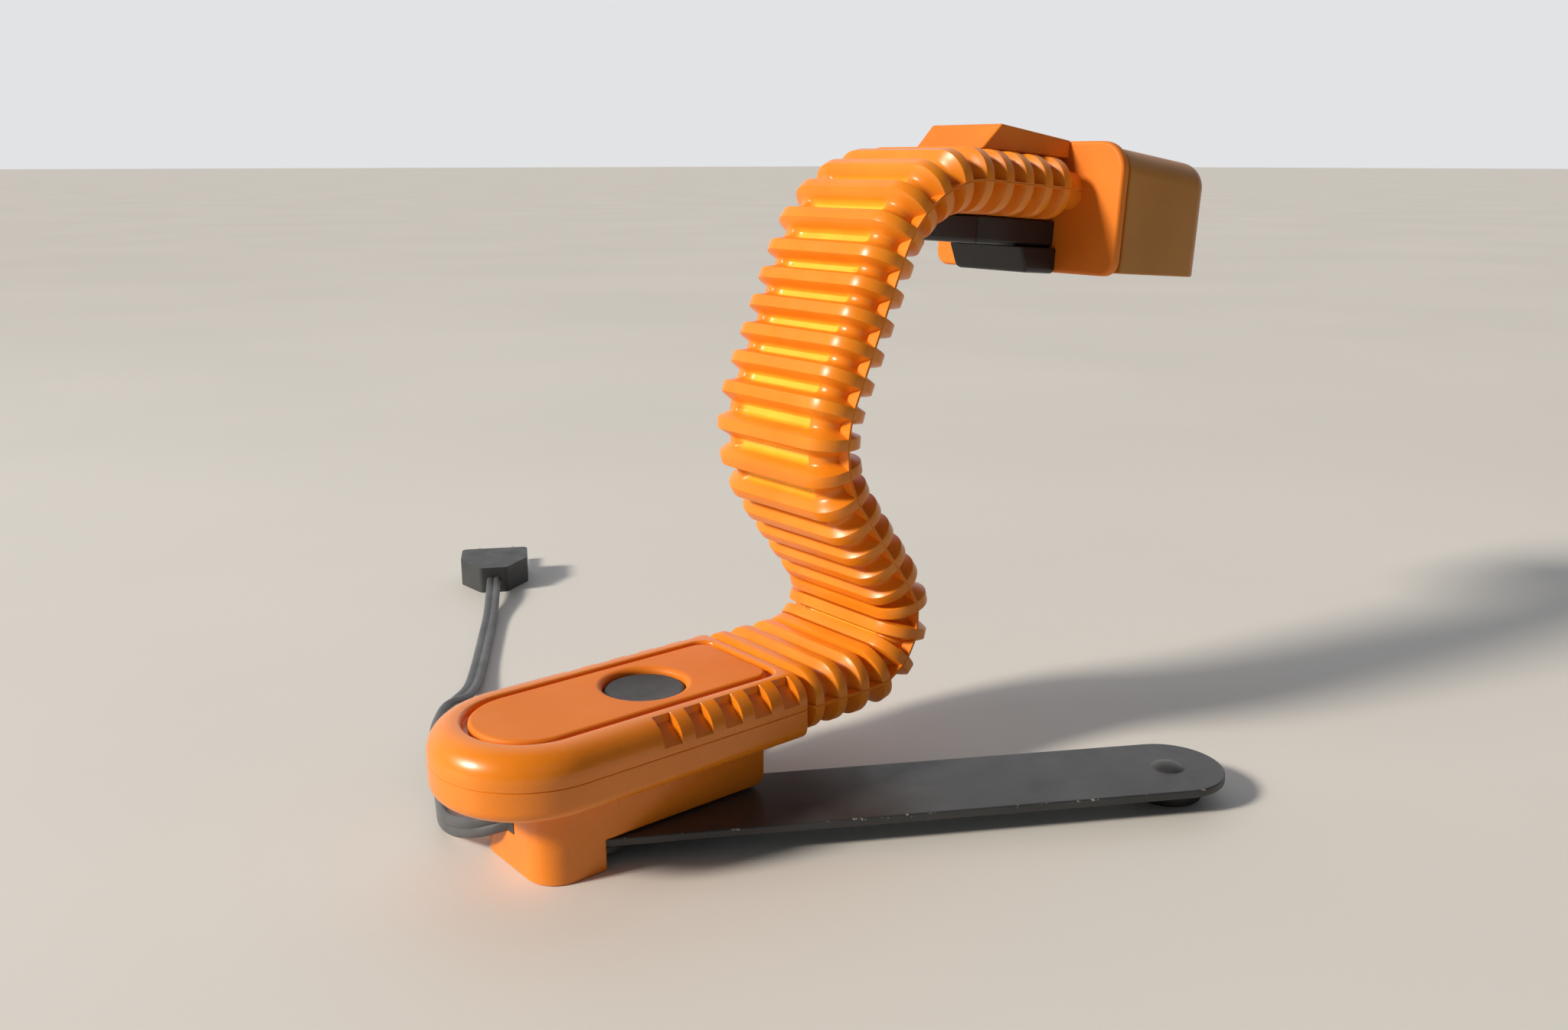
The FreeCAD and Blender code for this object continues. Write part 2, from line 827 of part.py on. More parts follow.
def web(frame):
    """A cross web that seats the link in the cover."""
    inset = cover_wall + seat_gap
    thin = moved(frame, -web_thickness / 2)
    wide = valley_half_width - inset
    deep = valley_half_depth - inset
    corner = valley_corner - inset
    span = thin[1] * web_thickness
    plate = prism(half_outline(thin, 1, wide, deep, corner), span)
    plate = plate.fuse(prism(half_outline(thin, -1, wide, deep, corner), span))
    for side in (-1, 1):
        start = at_frame(moved(frame, -web_thickness), side * wire_hole_y, 0)
        plate = plate.cut(Part.makeCylinder(wire_hole_radius, 2 * web_thickness, start, frame[1]))
    return plate.removeSplitter()


def make_link(group):
    ribs = [rib_at(index) for index in group_ribs(group)]
    eye, bore = eye_end(hinge_at(group), ribs[0])
    if group == neck_group_count:
        body_frames = ribs + [neck_frame(neck_length)]
        pieces = [strip(body_frames, -link_half_width, link_half_width, link_half_depth)]
    else:
        pieces = [strip(ribs, -link_half_width, link_half_width, link_half_depth)]
        pieces += fork_end(ribs[-1], hinge_at(group + 1))
    pieces += [web(ribs[1]), web(ribs[2])]
    return eye.fuse(pieces).cut(bore).removeSplitter()


def make_anchor():
    """The chain's root: a foot on the tray floor, a post and the fork of the first hinge."""
    rib = rib_at(ribs_on_base)
    floor_z = housing_floor_z + housing_wall
    bar_low = housing_seam_z - link_half_depth
    bar = box(
        anchor_foot_front_x,
        rib[0].x,
        -link_half_width,
        link_half_width,
        bar_low,
        housing_seam_z + link_half_depth,
    )
    rear_x = housing_rear_x - housing_wall - seat_gap
    foot = box(
        anchor_foot_front_x,
        rear_x,
        -anchor_foot_half_width,
        anchor_foot_half_width,
        floor_z,
        floor_z + anchor_foot_height,
    )
    for x, y in base_screw_places():
        foot = foot.cut(post(base_boss_radius + seat_gap, x, y, floor_z - 1, bar_low))
    column = box(anchor_foot_front_x, rear_x, -eye_half_width, eye_half_width, floor_z, bar_low + TINY)
    pieces = [foot, column] + fork_end(rib, hinge_at(1))
    anchor = bar.fuse(pieces)
    for x, y in base_screw_places():
        anchor = anchor.cut(post(base_boss_radius + seat_gap, x, y, floor_z - 1, housing_top_z))
    return anchor.removeSplitter()


# ---------------------------------------------------------------- head


def rounded_plate(x0, x1, half_width, low_z, high_z, low_radius, high_radius):
    """A plate across the head with rounded corners, seen from the front."""
    solid = box(x0, x1, -half_width, half_width, low_z, high_z)
    low = edges_where(solid, lambda at, edge: is_along(edge, X_AXIS) and abs(at.z - low_z) < TINY)
    solid = solid.makeFillet(low_radius, low)
    high = edges_where(solid, lambda at, edge: is_along(edge, X_AXIS) and abs(at.z - high_z) < TINY)
    return solid.makeFillet(high_radius, high)


def along_x(radius, y, z, x0, x1):
    return Part.makeCylinder(radius, x1 - x0, Vector(x0, y, z), X_AXIS)


shade_rear_x = plate_thickness + groove_width
shade_front_x = shade_rear_x + shade_length
holder_front_x = plate_thickness + holder_length
cap_rear_x = holder_front_x - holder_bore_depth + seat_gap
glass_rear_x = cap_rear_x + bulb_cap_length


def plate_screw_places():
    for y in (-head_screw_y, head_screw_y):
        yield y, head_screw_z


def make_back_plate():
    plate = rounded_plate(
        0,
        plate_thickness,
        plate_half_width,
        plate_bottom_z,
        plate_top_z,
        plate_bottom_radius,
        plate_top_radius,
    )
    ring = rounded_plate(
        plate_thickness - TINY,
        shade_rear_x,
        shade_half_width - groove_depth,
        shade_bottom_z + groove_depth,
        shade_top_rear_z - groove_depth,
        plate_bottom_radius,
        shade_radius - groove_depth,
    )
    hollow = rounded_plate(
        plate_thickness,
        shade_rear_x + 1,
        shade_half_width - groove_depth - spigot_wall,
        shade_bottom_z + groove_depth + spigot_wall,
        shade_top_rear_z - groove_depth - spigot_wall,
        plate_bottom_radius - spigot_wall,
        shade_radius - groove_depth - spigot_wall,
    )
    plate = plate.fuse(ring.cut(hollow))
    for y, z in plate_screw_places():
        plate = plate.fuse(along_x(base_boss_radius, y, z, plate_thickness - TINY, shade_rear_x))
    for y, z in plate_screw_places():
        hole_x = shade_rear_x + shade_wall - head_screw_depth
        plate = plate.cut(along_x(head_screw_radius + screw_clearance, y, z, hole_x - 0.5, shade_rear_x + 1))
    return plate.removeSplitter()


def shade_block(grow, low_z, radius):
    """The shade's outer block, or its inside where grow is negative."""
    rear = shade_rear_x - grow
    front = shade_front_x + grow
    slope = (shade_top_front_z - shade_top_rear_z) / shade_length
    top_rear = shade_top_rear_z + grow - slope * grow
    top_front = shade_top_front_z + grow + slope * grow
    half_width = shade_half_width + grow
    corners = [
        Vector(rear, -half_width, low_z),
        Vector(rear, -half_width, top_rear),
        Vector(front, -half_width, top_front),
        Vector(front, -half_width, low_z),
    ]
    solid = prism(closed(corners), Vector(0, 2 * half_width, 0))

    def is_rounded(at, edge):
        sloped_top = at.z > top_front - TINY and abs(at.y) > half_width - TINY
        front_top = at.z > top_front - TINY and abs(at.x - front) < TINY
        front_side = is_along(edge, Z_AXIS) and abs(at.x - front) < TINY
        return sloped_top or front_top or front_side

    return solid.makeFillet(radius, edges_where(solid, is_rounded))


def make_shade():
    shade = shade_block(0, shade_bottom_z, shade_radius)
    shade = shade.cut(shade_block(-shade_wall, shade_bottom_z - 1, shade_radius - shade_wall))
    shade = shade.cut(
        along_x(holder_radius + seat_gap, 0, bulb_axis_z, shade_rear_x - 1, shade_rear_x + shade_wall + 1)
    )
    front_x = shade_rear_x + shade_wall + 1
    for y, z in plate_screw_places():
        shade = shade.cut(along_x(head_screw_radius + screw_clearance, y, z, shade_rear_x - 1, front_x))
    return shade


def make_reflector():
    outer = shade_block(-shade_wall - seat_gap, shade_bottom_z + 3, shade_radius - shade_wall - seat_gap)
    inset = shade_wall + seat_gap + reflector_thickness
    inner = shade_block(-inset, shade_bottom_z + 2, shade_radius - inset)
    liner = outer.cut(inner)
    rear_x = shade_rear_x + shade_wall
    liner = liner.cut(along_x(holder_radius + seat_gap, 0, bulb_axis_z, rear_x, rear_x + 5))
    for y, z in plate_screw_places():
        liner = liner.cut(along_x(head_screw_head_radius + seat_gap, y, z, rear_x, rear_x + 5))
    return liner


def hood_block(inset, low_z):
    """The hood's wedge: its rear leans forward and its sides spread toward the back plate."""
    rear = -hood_length + inset
    profile = [
        (rear, low_z),
        (rear + hood_slope, hood_rear_top_z - inset),
        (0, hood_front_top_z - inset),
        (0, low_z),
    ]
    spread = (hood_front_half_width - hood_rear_half_width) / hood_length
    sides = []
    for side in (-1, 1):
        corners = [Vector(x, side * (hood_front_half_width - inset + spread * x), z) for x, z in profile]
        sides.append(closed(corners))
    return ruled(sides)


def make_hood():
    hood = hood_block(0, hood_bottom_z)
    return hood.cut(hood_block(hood_wall, hood_bottom_z - 1))


def small_box(length, half_width, low_z, high_z, lean):
    """A box behind the back plate with rounded lower edges, hollow and open to the front. Its rear
    leans in toward the plate at the bottom."""
    wall = small_box_wall
    slope = lean / (high_z - low_z)
    rear_wall = wall * math.sqrt(1 + slope**2)

    def block(inset, rear_inset, front_x):
        low = low_z + inset
        high = high_z - inset
        profile = [
            (-length + slope * inset + rear_inset, high),
            (front_x, high),
            (front_x, low),
            (-length + lean - slope * inset + rear_inset, low),
        ]
        corners = [Vector(x, inset - half_width, z) for x, z in profile]
        return prism(closed(corners), Vector(0, 2 * (half_width - inset), 0))

    solid = block(0, 0, 0)
    lower = edges_where(solid, lambda at, edge: abs(at.z - low_z) < TINY and at.x < -TINY)
    solid = solid.makeFillet(small_edge_radius, lower)
    return solid.cut(block(wall, rear_wall, 1))


def make_neck_clamp():
    return small_box(clamp_length, clamp_half_width, clamp_bottom_z, -rib_half_depth - seat_gap, 0)


def make_holder_cover():
    return small_box(cover_length, cover_half_width, cover_bottom_z, clamp_bottom_z, cover_lean)


def make_lamp_holder():
    holder = along_x(holder_radius, 0, bulb_axis_z, plate_thickness, holder_front_x)
    bore_x = holder_front_x - holder_bore_depth
    return holder.cut(
        along_x(bulb_cap_radius + running_gap, 0, bulb_axis_z, bore_x, holder_front_x + 1)
    )


def make_bulb_cap():
    return along_x(bulb_cap_radius, 0, bulb_axis_z, cap_rear_x, glass_rear_x)


def bulb_body(inset):
    rear_x = glass_rear_x + inset
    front_x = glass_rear_x + bulb_glass_length - inset
    body = along_x(bulb_radius - inset, 0, bulb_axis_z, rear_x, front_x)
    front = edges_where(body, lambda at, edge: at.x > front_x - TINY)
    body = body.makeFillet(bulb_radius - 1 - inset, front)
    rear = edges_where(body, lambda at, edge: abs(at.x - rear_x) < TINY)
    return body.makeFillet(3.0 - inset, rear)


def make_bulb_glass():
    return bulb_body(0).cut(bulb_body(bulb_glass_wall))


def make_head_screws():
    screws = []
    seat_x = shade_rear_x + shade_wall
    for y, z in plate_screw_places():
        head = along_x(head_screw_head_radius, y, z, seat_x, seat_x + head_screw_head_height)
        shank = along_x(head_screw_radius, y, z, seat_x - head_screw_depth, seat_x + TINY)
        screws.append(head.fuse(shank))
    return Part.makeCompound(screws)


def on_head(shape):
    """From the head's own axes to the lamp's."""
    end = neck_frame(neck_length)
    turned = shape.copy()
    turned.rotate(Vector(0, 0, 0), Y_AXIS, -math.degrees(end[3]))
    turned.translate(end[0])
    return turned


# ---------------------------------------------------------------- cord and plug


def rounded_route(points, name):
    """Straight runs joined by tangent arcs, each as large as its two runs allow."""
    runs = [(after - before).Length for before, after in zip(points, points[1:])]
    edges = []
    start = points[0]
    radii = []
    for index in range(1, len(points) - 1):
        corner = points[index]
        back = (points[index - 1] - corner).normalize()
        onward = (points[index + 1] - corner).normalize()
        turn = math.pi - back.getAngle(onward)
        cut = 0.45 * min(runs[index - 1], runs[index])
        radius = cut / math.tan(turn / 2)
        radii.append(radius)
        arc_start = corner + back * cut
        arc_end = corner + onward * cut
        bisector = (back + onward).normalize()
        middle = corner + bisector * (radius / math.cos(turn / 2) - radius)
        edges.append(Part.makeLine(start, arc_start))
        edges.append(Part.Arc(arc_start, middle, arc_end).toShape())
        start = arc_end
    edges.append(Part.makeLine(start, points[-1]))
    print(name, "radii", " ".join(f"{radius:.0f}" for radius in radii))
    return Part.Wire(edges)


def tube(path, radius, name):
    first = path.OrderedEdges[0]
    start = first.valueAt(first.FirstParameter)
    heading = first.tangentAt(first.FirstParameter)
    circle = Part.Wire([Part.makeCircle(radius, start, heading)])
    solid = path.makePipeShell([circle], True, False)
    plain = math.pi * radius**2 * path.Length
    print(name, f"length {path.Length:.1f}, volume over section times length {solid.Volume / plain:.5f}")
    return solid


def biarc(start, heading, end, end_heading):
    """Two arcs that leave start and reach end along the given headings."""
    span = end - start
    both = heading + end_heading
    spread = 2 * (1 - heading.dot(end_heading))
    reach = (-span.dot(both) + math.sqrt(span.dot(both) ** 2 + spread * span.dot(span))) / spread
    middle = (start + end + (heading - end_heading) * reach) * 0.5
    joint_heading = (middle - start - heading * reach).normalize()
    edges = []
    halves = ((start, heading, middle, joint_heading), (middle, joint_heading, end, end_heading))
    for p0, t0, p1, t1 in halves:
        chord = p1 - p0
        bend = (t0 - t1) * 0.5
        half_turn = t0.getAngle(t1) / 2
        rise = chord.Length / 2 * math.tan(half_turn / 2)
        edges.append(Part.Arc(p0, (p0 + p1) * 0.5 + bend.normalize() * rise, p1).toShape())
    return edges


coil_total = coil_layers * coil_turns_per_layer


def coil_place(turns):
    """The cord's centre after that many turns: it spirals in and out, and climbs where it reverses."""
    layer_place = turns / coil_turns_per_layer
    layer = min(int(layer_place), coil_layers - 1)
    inward = layer_place - layer
    if layer % 2 == 1:
        inward = 1 - inward
    radius = coil_outer_radius - inward * coil_turns_per_layer * coil_turn_pitch
    z = cord_diameter / 2 + cord_floor_gap
    for reversal in range(1, coil_layers):
        past = (turns - reversal * coil_turns_per_layer) / 0.5 + 0.5
        share = min(max(past, 0.0), 1.0)
        z += coil_layer_rise * share * share * (3 - 2 * share)
    angle = math.radians(coil_entry_angle - 360 * turns)
    return Vector(coil_centre_x + radius * math.cos(angle), coil_centre_y + radius * math.sin(angle), z)


def coil_heading(turns):
    step = 0.002
    return (coil_place(min(turns + step, coil_total)) - coil_place(max(turns - step, 0))).normalize()


def level(heading):
    return Vector(heading.x, heading.y, 0).normalize()


def coil_ends():
    """The coil's first and last points, a cord's diameter out along its level end headings."""
    first = coil_place(0) - level(coil_heading(0)) * cord_diameter
    last = coil_place(coil_total) + level(coil_heading(coil_total)) * cord_diameter
    return first, last


def make_coil():
    count = int(round(coil_total * 4))
    first, last = coil_ends()
    edges = [Part.makeLine(first, coil_place(0))]
    for index in range(count):
        start = index * coil_total / count
        end = (index + 1) * coil_total / count
        start_heading = coil_heading(start) if index > 0 else level(coil_heading(0))
        end_heading = coil_heading(end) if index < count - 1 else level(coil_heading(coil_total))
        edges += biarc(coil_place(start), start_heading, coil_place(end), end_heading)
    edges.append(Part.makeLine(coil_place(coil_total), last))
    path = Part.Wire(edges)
    points = path.discretize(Number=1200)
    spacing = path.Length / (len(points) - 1)
    skip = int(4 * cord_diameter / spacing)
    least = min(
        (points[i] - points[j]).Length
        for i in range(len(points))
        for j in range(i + skip, len(points))
    )
    print(f"coil least gap to itself {least - cord_diameter:.2f}")
    return tube(path, cord_diameter / 2, "coil")


def make_lead():
    first = coil_ends()[0]
    points = [Vector(*cord_start)] + [Vector(*point) for point in lead_points]
    points += [first - level(coil_heading(0)) * 12, first]
    return tube(rounded_route(points, "lead"), cord_diameter / 2, "lead")


def make_tail():
    last = coil_ends()[1]
    points = [last, last + level(coil_heading(coil_total)) * 12] + [Vector(*point) for point in tail_points]
    points.append(Vector(*plug_entry))
    return tube(rounded_route(points, "tail"), cord_diameter / 2, "tail")


def make_bush(lead):
    """A rubber bush that fills the notch round the cord."""
    return cord_window(block_front_x, block_front_x + cord_bush_depth).cut(lead)


def plug_frame():
    entry = Vector(*plug_entry)
    onward = entry - Vector(*tail_points[-1])
    onward.z = 0
    angle = math.degrees(math.atan2(onward.y, onward.x))
    return entry, angle


def on_plug(shape):
    entry, angle = plug_frame()
    turned = shape.copy()
    turned.rotate(Vector(0, 0, 0), Z_AXIS, angle)
    turned.translate(entry)
    return turned


def make_plug_body():
    half_thickness = plug_thickness / 2
    low = -half_thickness
    tail_half = plug_tail_width / 2
    half = plug_width / 2
    shoulder_x = plug_length * 0.45
    corners = [
        Vector(0, -tail_half, low),
        Vector(shoulder_x, -half, low),
        Vector(plug_length, -half, low),
        Vector(plug_length, half, low),
        Vector(shoulder_x, half, low),
        Vector(0, tail_half, low),
    ]
    body = prism(closed(corners), Vector(0, 0, plug_thickness))
    sides = edges_where(body, lambda at, edge: is_along(edge, Z_AXIS))
    body = body.makeFillet(3.0, sides)
    for side in (-1, 1):
        y = side * plug_pin_spacing / 2
        body = body.cut(along_x(plug_pin_radius, y, 0, plug_length - plug_pin_root, plug_length + 1))
    return on_plug(body)


def make_plug_pins():
    pins = []
    root_x = plug_length - plug_pin_root
    for side in (-1, 1):
        y = side * plug_pin_spacing / 2
        pins.append(along_x(plug_pin_radius, y, 0, root_x, plug_length + plug_pin_length))
    return on_plug(Part.makeCompound(pins))


# ---------------------------------------------------------------- the nodes


def keep(name, shape):
    made[name] = shape


keep("base_top_shell", make_top_shell())
keep("base_tray", make_tray())
keep("base_keel", make_keel())
keep("top_panel", make_panel())
keep("push_button", make_button())
keep("button_spring", make_button_spring())
keep("switch_body", make_switch())
keep("terminal_block", make_terminal_block())
keep("ballast_plate", make_ballast())
keep("cord_clamp", make_cord_clamp())
keep("base_screws", make_base_screws())
keep("leg_pivot_screw", make_pivot_screw())
keep("leg_pivot_nut", make_pivot_nut())
keep("pivot_washers", make_washers())
keep("leg_right", make_leg(upper_leg_z, right_leg_angle))
keep("foot_right", make_foot(upper_leg_z, right_leg_angle))
keep("rivet_right", make_rivet(upper_leg_z + leg_thickness, right_leg_angle))
keep("leg_left", make_leg(lower_leg_z, left_leg_angle))
keep("foot_left", make_foot(lower_leg_z, left_leg_angle))
keep("rivet_left", make_rivet(lower_leg_z + leg_thickness, left_leg_angle))

keep("neck_anchor", make_anchor())
for group in range(neck_group_count + 1):
    front = cover_half(group, 1)
    back = cover_half(group, -1).cut(front)
    if group == 0:
        keep("neck_root_front", front)
        keep("neck_root_back", back)
    else:
        keep(f"neck_front_{group}", front)
        keep(f"neck_back_{group}", back)
        keep(f"neck_link_{group}", make_link(group))

keep("head_back_plate", on_head(make_back_plate()))
keep("head_shade", on_head(make_shade()))
keep("head_reflector", on_head(make_reflector()))
keep("head_hood", on_head(make_hood()))
keep("neck_clamp", on_head(make_neck_clamp()))
keep("holder_cover", on_head(make_holder_cover()))
keep("lamp_holder", on_head(make_lamp_holder()))
keep("bulb_cap", on_head(make_bulb_cap()))
keep("bulb_glass", on_head(make_bulb_glass()))
keep("head_screws", on_head(make_head_screws()))

keep("cord_lead", make_lead())
keep("cord_bush", make_bush(made["cord_lead"]))
keep("cord_coil", make_coil())
keep("cord_tail", make_tail())
keep("plug_body", make_plug_body())
keep("plug_pins", make_plug_pins())

os.makedirs("parts", exist_ok=True)
for name, shape in made.items():
    shape.exportStep(f"parts/{name}.step")
    print(f"{name}: solids {len(shape.Solids)}, volume {shape.Volume:.0f} mm3, valid {shape.isValid()}")
for group in range(1, neck_group_count + 1):
    place = hinge_at(group)[0]
    print(f"hinge {group} at x {place.x:.3f}, z {place.z:.3f}")
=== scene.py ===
import math

import bmesh
import bpy
from mathutils import Euler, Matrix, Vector
from mathutils.geometry import tessellate_polygon


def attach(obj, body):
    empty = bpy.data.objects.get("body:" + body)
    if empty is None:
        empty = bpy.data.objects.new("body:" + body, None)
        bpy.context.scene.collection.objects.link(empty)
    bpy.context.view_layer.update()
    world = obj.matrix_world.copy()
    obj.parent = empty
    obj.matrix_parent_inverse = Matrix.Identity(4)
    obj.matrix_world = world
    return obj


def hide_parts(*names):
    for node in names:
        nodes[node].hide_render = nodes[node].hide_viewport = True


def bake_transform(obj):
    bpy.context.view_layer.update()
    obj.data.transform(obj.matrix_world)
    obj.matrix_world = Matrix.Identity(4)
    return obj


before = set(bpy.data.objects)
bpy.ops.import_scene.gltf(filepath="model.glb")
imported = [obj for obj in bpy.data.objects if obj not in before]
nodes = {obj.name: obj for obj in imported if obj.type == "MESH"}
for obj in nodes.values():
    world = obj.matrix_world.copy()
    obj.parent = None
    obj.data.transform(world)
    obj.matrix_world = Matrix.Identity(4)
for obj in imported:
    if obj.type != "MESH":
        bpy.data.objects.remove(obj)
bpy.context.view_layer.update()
mm = 0.001
print("frame loaded:", len(nodes), "nodes")


def smoothStep(x):
    x = min(max(x, 0.0), 1.0)
    return x * x * (3 - 2 * x)


# Camera, at the place the photo was taken from

camera = {
    "place": (-195.2, -362.8, 223.2),
    "turn": (75.26, 0.0, -39.54),
    "lens": 30.94,
}
cameraData = bpy.data.cameras.new("deskCamera")
cameraData.lens = camera["lens"]
cameraData.sensor_width = 36.0
cameraData.clip_start = 0.01
cameraObject = bpy.data.objects.new("deskCamera", cameraData)
cameraObject.location = Vector(camera["place"]) * mm
cameraObject.rotation_euler = Euler([math.radians(a) for a in camera["turn"]])
bpy.context.scene.collection.objects.link(cameraObject)
bpy.context.scene.camera = cameraObject
bpy.context.scene.view_settings.view_transform = "Standard"
bpy.context.scene.view_settings.look = "None"
print("camera placed")


# Materials


def fromHex(code):
    parts = [int(code[i : i + 2], 16) / 255 for i in (1, 3, 5)]
    return [p / 12.92 if p <= 0.04045 else ((p + 0.055) / 1.055) ** 2.4 for p in parts] + [1.0]


def addNode(tree, kind, sockets=None, **settings):
    # sockets hold a plain value or another node's output; settings are the node's own
    node = tree.nodes.new(kind)
    for name, value in settings.items():
        setattr(node, name, value)
    for name, value in (sockets or {}).items():
        socket = node.inputs[name]
        if isinstance(value, bpy.types.NodeSocket):
            tree.links.new(value, socket)
        else:
            socket.default_value = value
    return node


def newMaterial(name):
    material = bpy.data.materials.new(name)
    material.use_nodes = True
    tree = material.node_tree
    tree.nodes.clear()
    output = addNode(tree, "ShaderNodeOutputMaterial")
    shader = addNode(tree, "ShaderNodeBsdfPrincipled")
    tree.links.new(shader.outputs["BSDF"], output.inputs["Surface"])
    return material, tree, shader


def perMm(size):
    # noise scale that gives features of that many millimetres
    return 1 / (size * mm)


def finishSurface(tree, shader, look):
    # colour drift, uneven gloss and fine relief, each at its own real size in mm
    where = addNode(tree, "ShaderNodeTexCoord").outputs["Object"]
    drift = addNode(tree, "ShaderNodeTexNoise", {
        "Vector": where, "Scale": perMm(look["driftMm"]), "Detail": 3.0,
    })
    tint = addNode(tree, "ShaderNodeValToRGB", {"Fac": drift.outputs["Fac"]})
    tint.color_ramp.elements[0].position = 0.35
    tint.color_ramp.elements[0].color = fromHex(look["deep"])
    tint.color_ramp.elements[1].position = 0.68
    tint.color_ramp.elements[1].color = fromHex(look["colour"])
    tree.links.new(tint.outputs["Color"], shader.inputs["Base Color"])
    smudge = addNode(tree, "ShaderNodeTexNoise", {
        "Vector": where, "Scale": perMm(look["smudgeMm"]), "Detail": 5.0, "Roughness": 0.6,
    })
    gloss = addNode(tree, "ShaderNodeMapRange", {
        "Value": smudge.outputs["Fac"], "From Min": 0.3, "From Max": 0.7,
        "To Min": look["roughness"][0], "To Max": look["roughness"][1],
    })
    tree.links.new(gloss.outputs["Result"], shader.inputs["Roughness"])
    grain = addNode(tree, "ShaderNodeTexNoise", {
        "Vector": where, "Scale": perMm(look["grainMm"]), "Detail": 2.0,
    })
    relief = addNode(tree, "ShaderNodeBump", {
        "Height": grain.outputs["Fac"], "Strength": look["relief"],
        "Distance": look["grainMm"] * 0.1 * mm,  # a tenth as deep as it is wide
    })
    tree.links.new(relief.outputs["Normal"], shader.inputs["Normal"])
    return tint, where


def letLightIn(shader, weight):
    # warm light goes a few millimetres into orange and milky plastics
    shader.inputs["Subsurface Weight"].default_value = weight
    shader.inputs["Subsurface Radius"].default_value = (0.004, 0.0018, 0.0005)
    shader.inputs["Subsurface Scale"].default_value = 0.6


def plastic(name, look):
    material, tree, shader = newMaterial(name)
    shader.inputs["IOR"].default_value = look["ior"]
    shader.inputs["Specular IOR Level"].default_value = look.get("specular", 0.5)
    shader.inputs["Coat Weight"].default_value = look.get("coat", 0.0)
    shader.inputs["Coat Roughness"].default_value = look.get("coatRoughness", 0.1)
    if look.get("glow"):
        letLightIn(shader, look["glow"])
    finishSurface(tree, shader, look)
    return material


# injection-moulded ABS with a fine texture: broad soft highlights and handling smudges
mouldedAbs = plastic("mouldedAbs", {
    "colour": "#ea8320", "deep": "#e27a18", "driftMm": 30, "smudgeMm": 14, "roughness": (0.46, 0.58),
    "grainMm": 0.9, "relief": 0.12, "ior": 1.54, "specular": 0.3,
})
# the same ABS polished in the mould on the outer shell: one clear highlight along the round nose
polishedAbs = plastic("polishedAbs", {
    "colour": "#ee8a1d", "deep": "#e78115", "driftMm": 34, "smudgeMm": 18, "roughness": (0.24, 0.32),
    "grainMm": 2.2, "relief": 0.05, "ior": 1.54, "specular": 0.42, "coat": 0.15, "coatRoughness": 0.14,
})


def blownPolypropylene():
    # blow-moulded polypropylene: light goes a little way in, and the middle of each pocket is painted paler
    # and yellower than the ribs, a painted glow standing in for the light the pockets catch
    material, tree, shader = newMaterial("blownPolypropylene")
    shader.inputs["IOR"].default_value = 1.49
    shader.inputs["Specular IOR Level"].default_value = 0.45
    letLightIn(shader, 0.1)
    tint, where = finishSurface(tree, shader, {
        "colour": "#ef8f22", "deep": "#e78417", "driftMm": 26, "smudgeMm": 9, "roughness": (0.27, 0.38),
        "grainMm": 1.1, "relief": 0.06,
    })
    glowShare = addNode(tree, "ShaderNodeAttribute", attribute_name="paintedPocketGlow").outputs["Fac"]
    uneven = addNode(tree, "ShaderNodeTexNoise", {"Vector": where, "Scale": perMm(12), "Detail": 2.0})
    share = addNode(tree, "ShaderNodeMapRange", {
        "Value": uneven.outputs["Fac"], "From Min": 0.3, "From Max": 0.7, "To Min": 0.75, "To Max": 1.0,
    })
    mask = addNode(tree, "ShaderNodeMath", {0: glowShare, 1: share.outputs["Result"]}, operation="MULTIPLY")
    # painted glow: where the share is high the colour turns pale yellow
    mixed = addNode(tree, "ShaderNodeMix", {
        "Factor": mask.outputs[0], "A": tint.outputs["Color"], "B": fromHex("#ffc23a"),
    }, data_type="RGBA")
    tree.links.new(mixed.outputs["Result"], shader.inputs["Base Color"])
    return material


bellowsPolypropylene = blownPolypropylene()
# ABS of the shade: a duller, browner yellow than the rest
ochreAbs = plastic("ochreAbs", {
    "colour": "#bf7f20", "deep": "#b57419", "driftMm": 40, "smudgeMm": 16, "roughness": (0.36, 0.48),
    "grainMm": 1.4, "relief": 0.08, "ior": 1.54,
})
# spark-eroded black ABS: an even fine texture that keeps highlights dull
sparkErodedAbs = plastic("sparkErodedAbs", {
    "colour": "#34363a", "deep": "#2c2e31", "driftMm": 12, "smudgeMm": 6, "roughness": (0.4, 0.55),
    "grainMm": 0.5, "relief": 0.35, "ior": 1.54,
})
# black polypropylene, satin from the mould
satinPolypropylene = plastic("satinPolypropylene", {
    "colour": "#1d1f22", "deep": "#17191b", "driftMm": 15, "smudgeMm": 9, "roughness": (0.34, 0.46),
    "grainMm": 0.8, "relief": 0.12, "ior": 1.49,
})
# PVC sheath of a twin flex: waxy dark grey, lightened and cooled as a painted sheen, scuffed lighter in
# places
pvcSheath = plastic("pvcSheath", {
    "colour": "#5b5e62", "deep": "#484b4f", "driftMm": 18, "smudgeMm": 7, "roughness": (0.36, 0.5),
    "grainMm": 0.9, "relief": 0.15, "ior": 1.53,
})
# PVC overmould of the plug and bush, a shade darker than the flex
pvcOvermould = plastic("pvcOvermould", {
    "colour": "#3d4043", "deep": "#34373a", "driftMm": 14, "smudgeMm": 8, "roughness": (0.42, 0.56),
    "grainMm": 0.7, "relief": 0.3, "ior": 1.53,
})
# nitrile rubber feet: matt black that takes grey dust
nitrileRubber = plastic("nitrileRubber", {
    "colour": "#2a2b2c", "deep": "#1d1e1f", "driftMm": 5, "smudgeMm": 3, "roughness": (0.62, 0.8),
    "grainMm": 0.4, "relief": 0.3, "ior": 1.52,
})
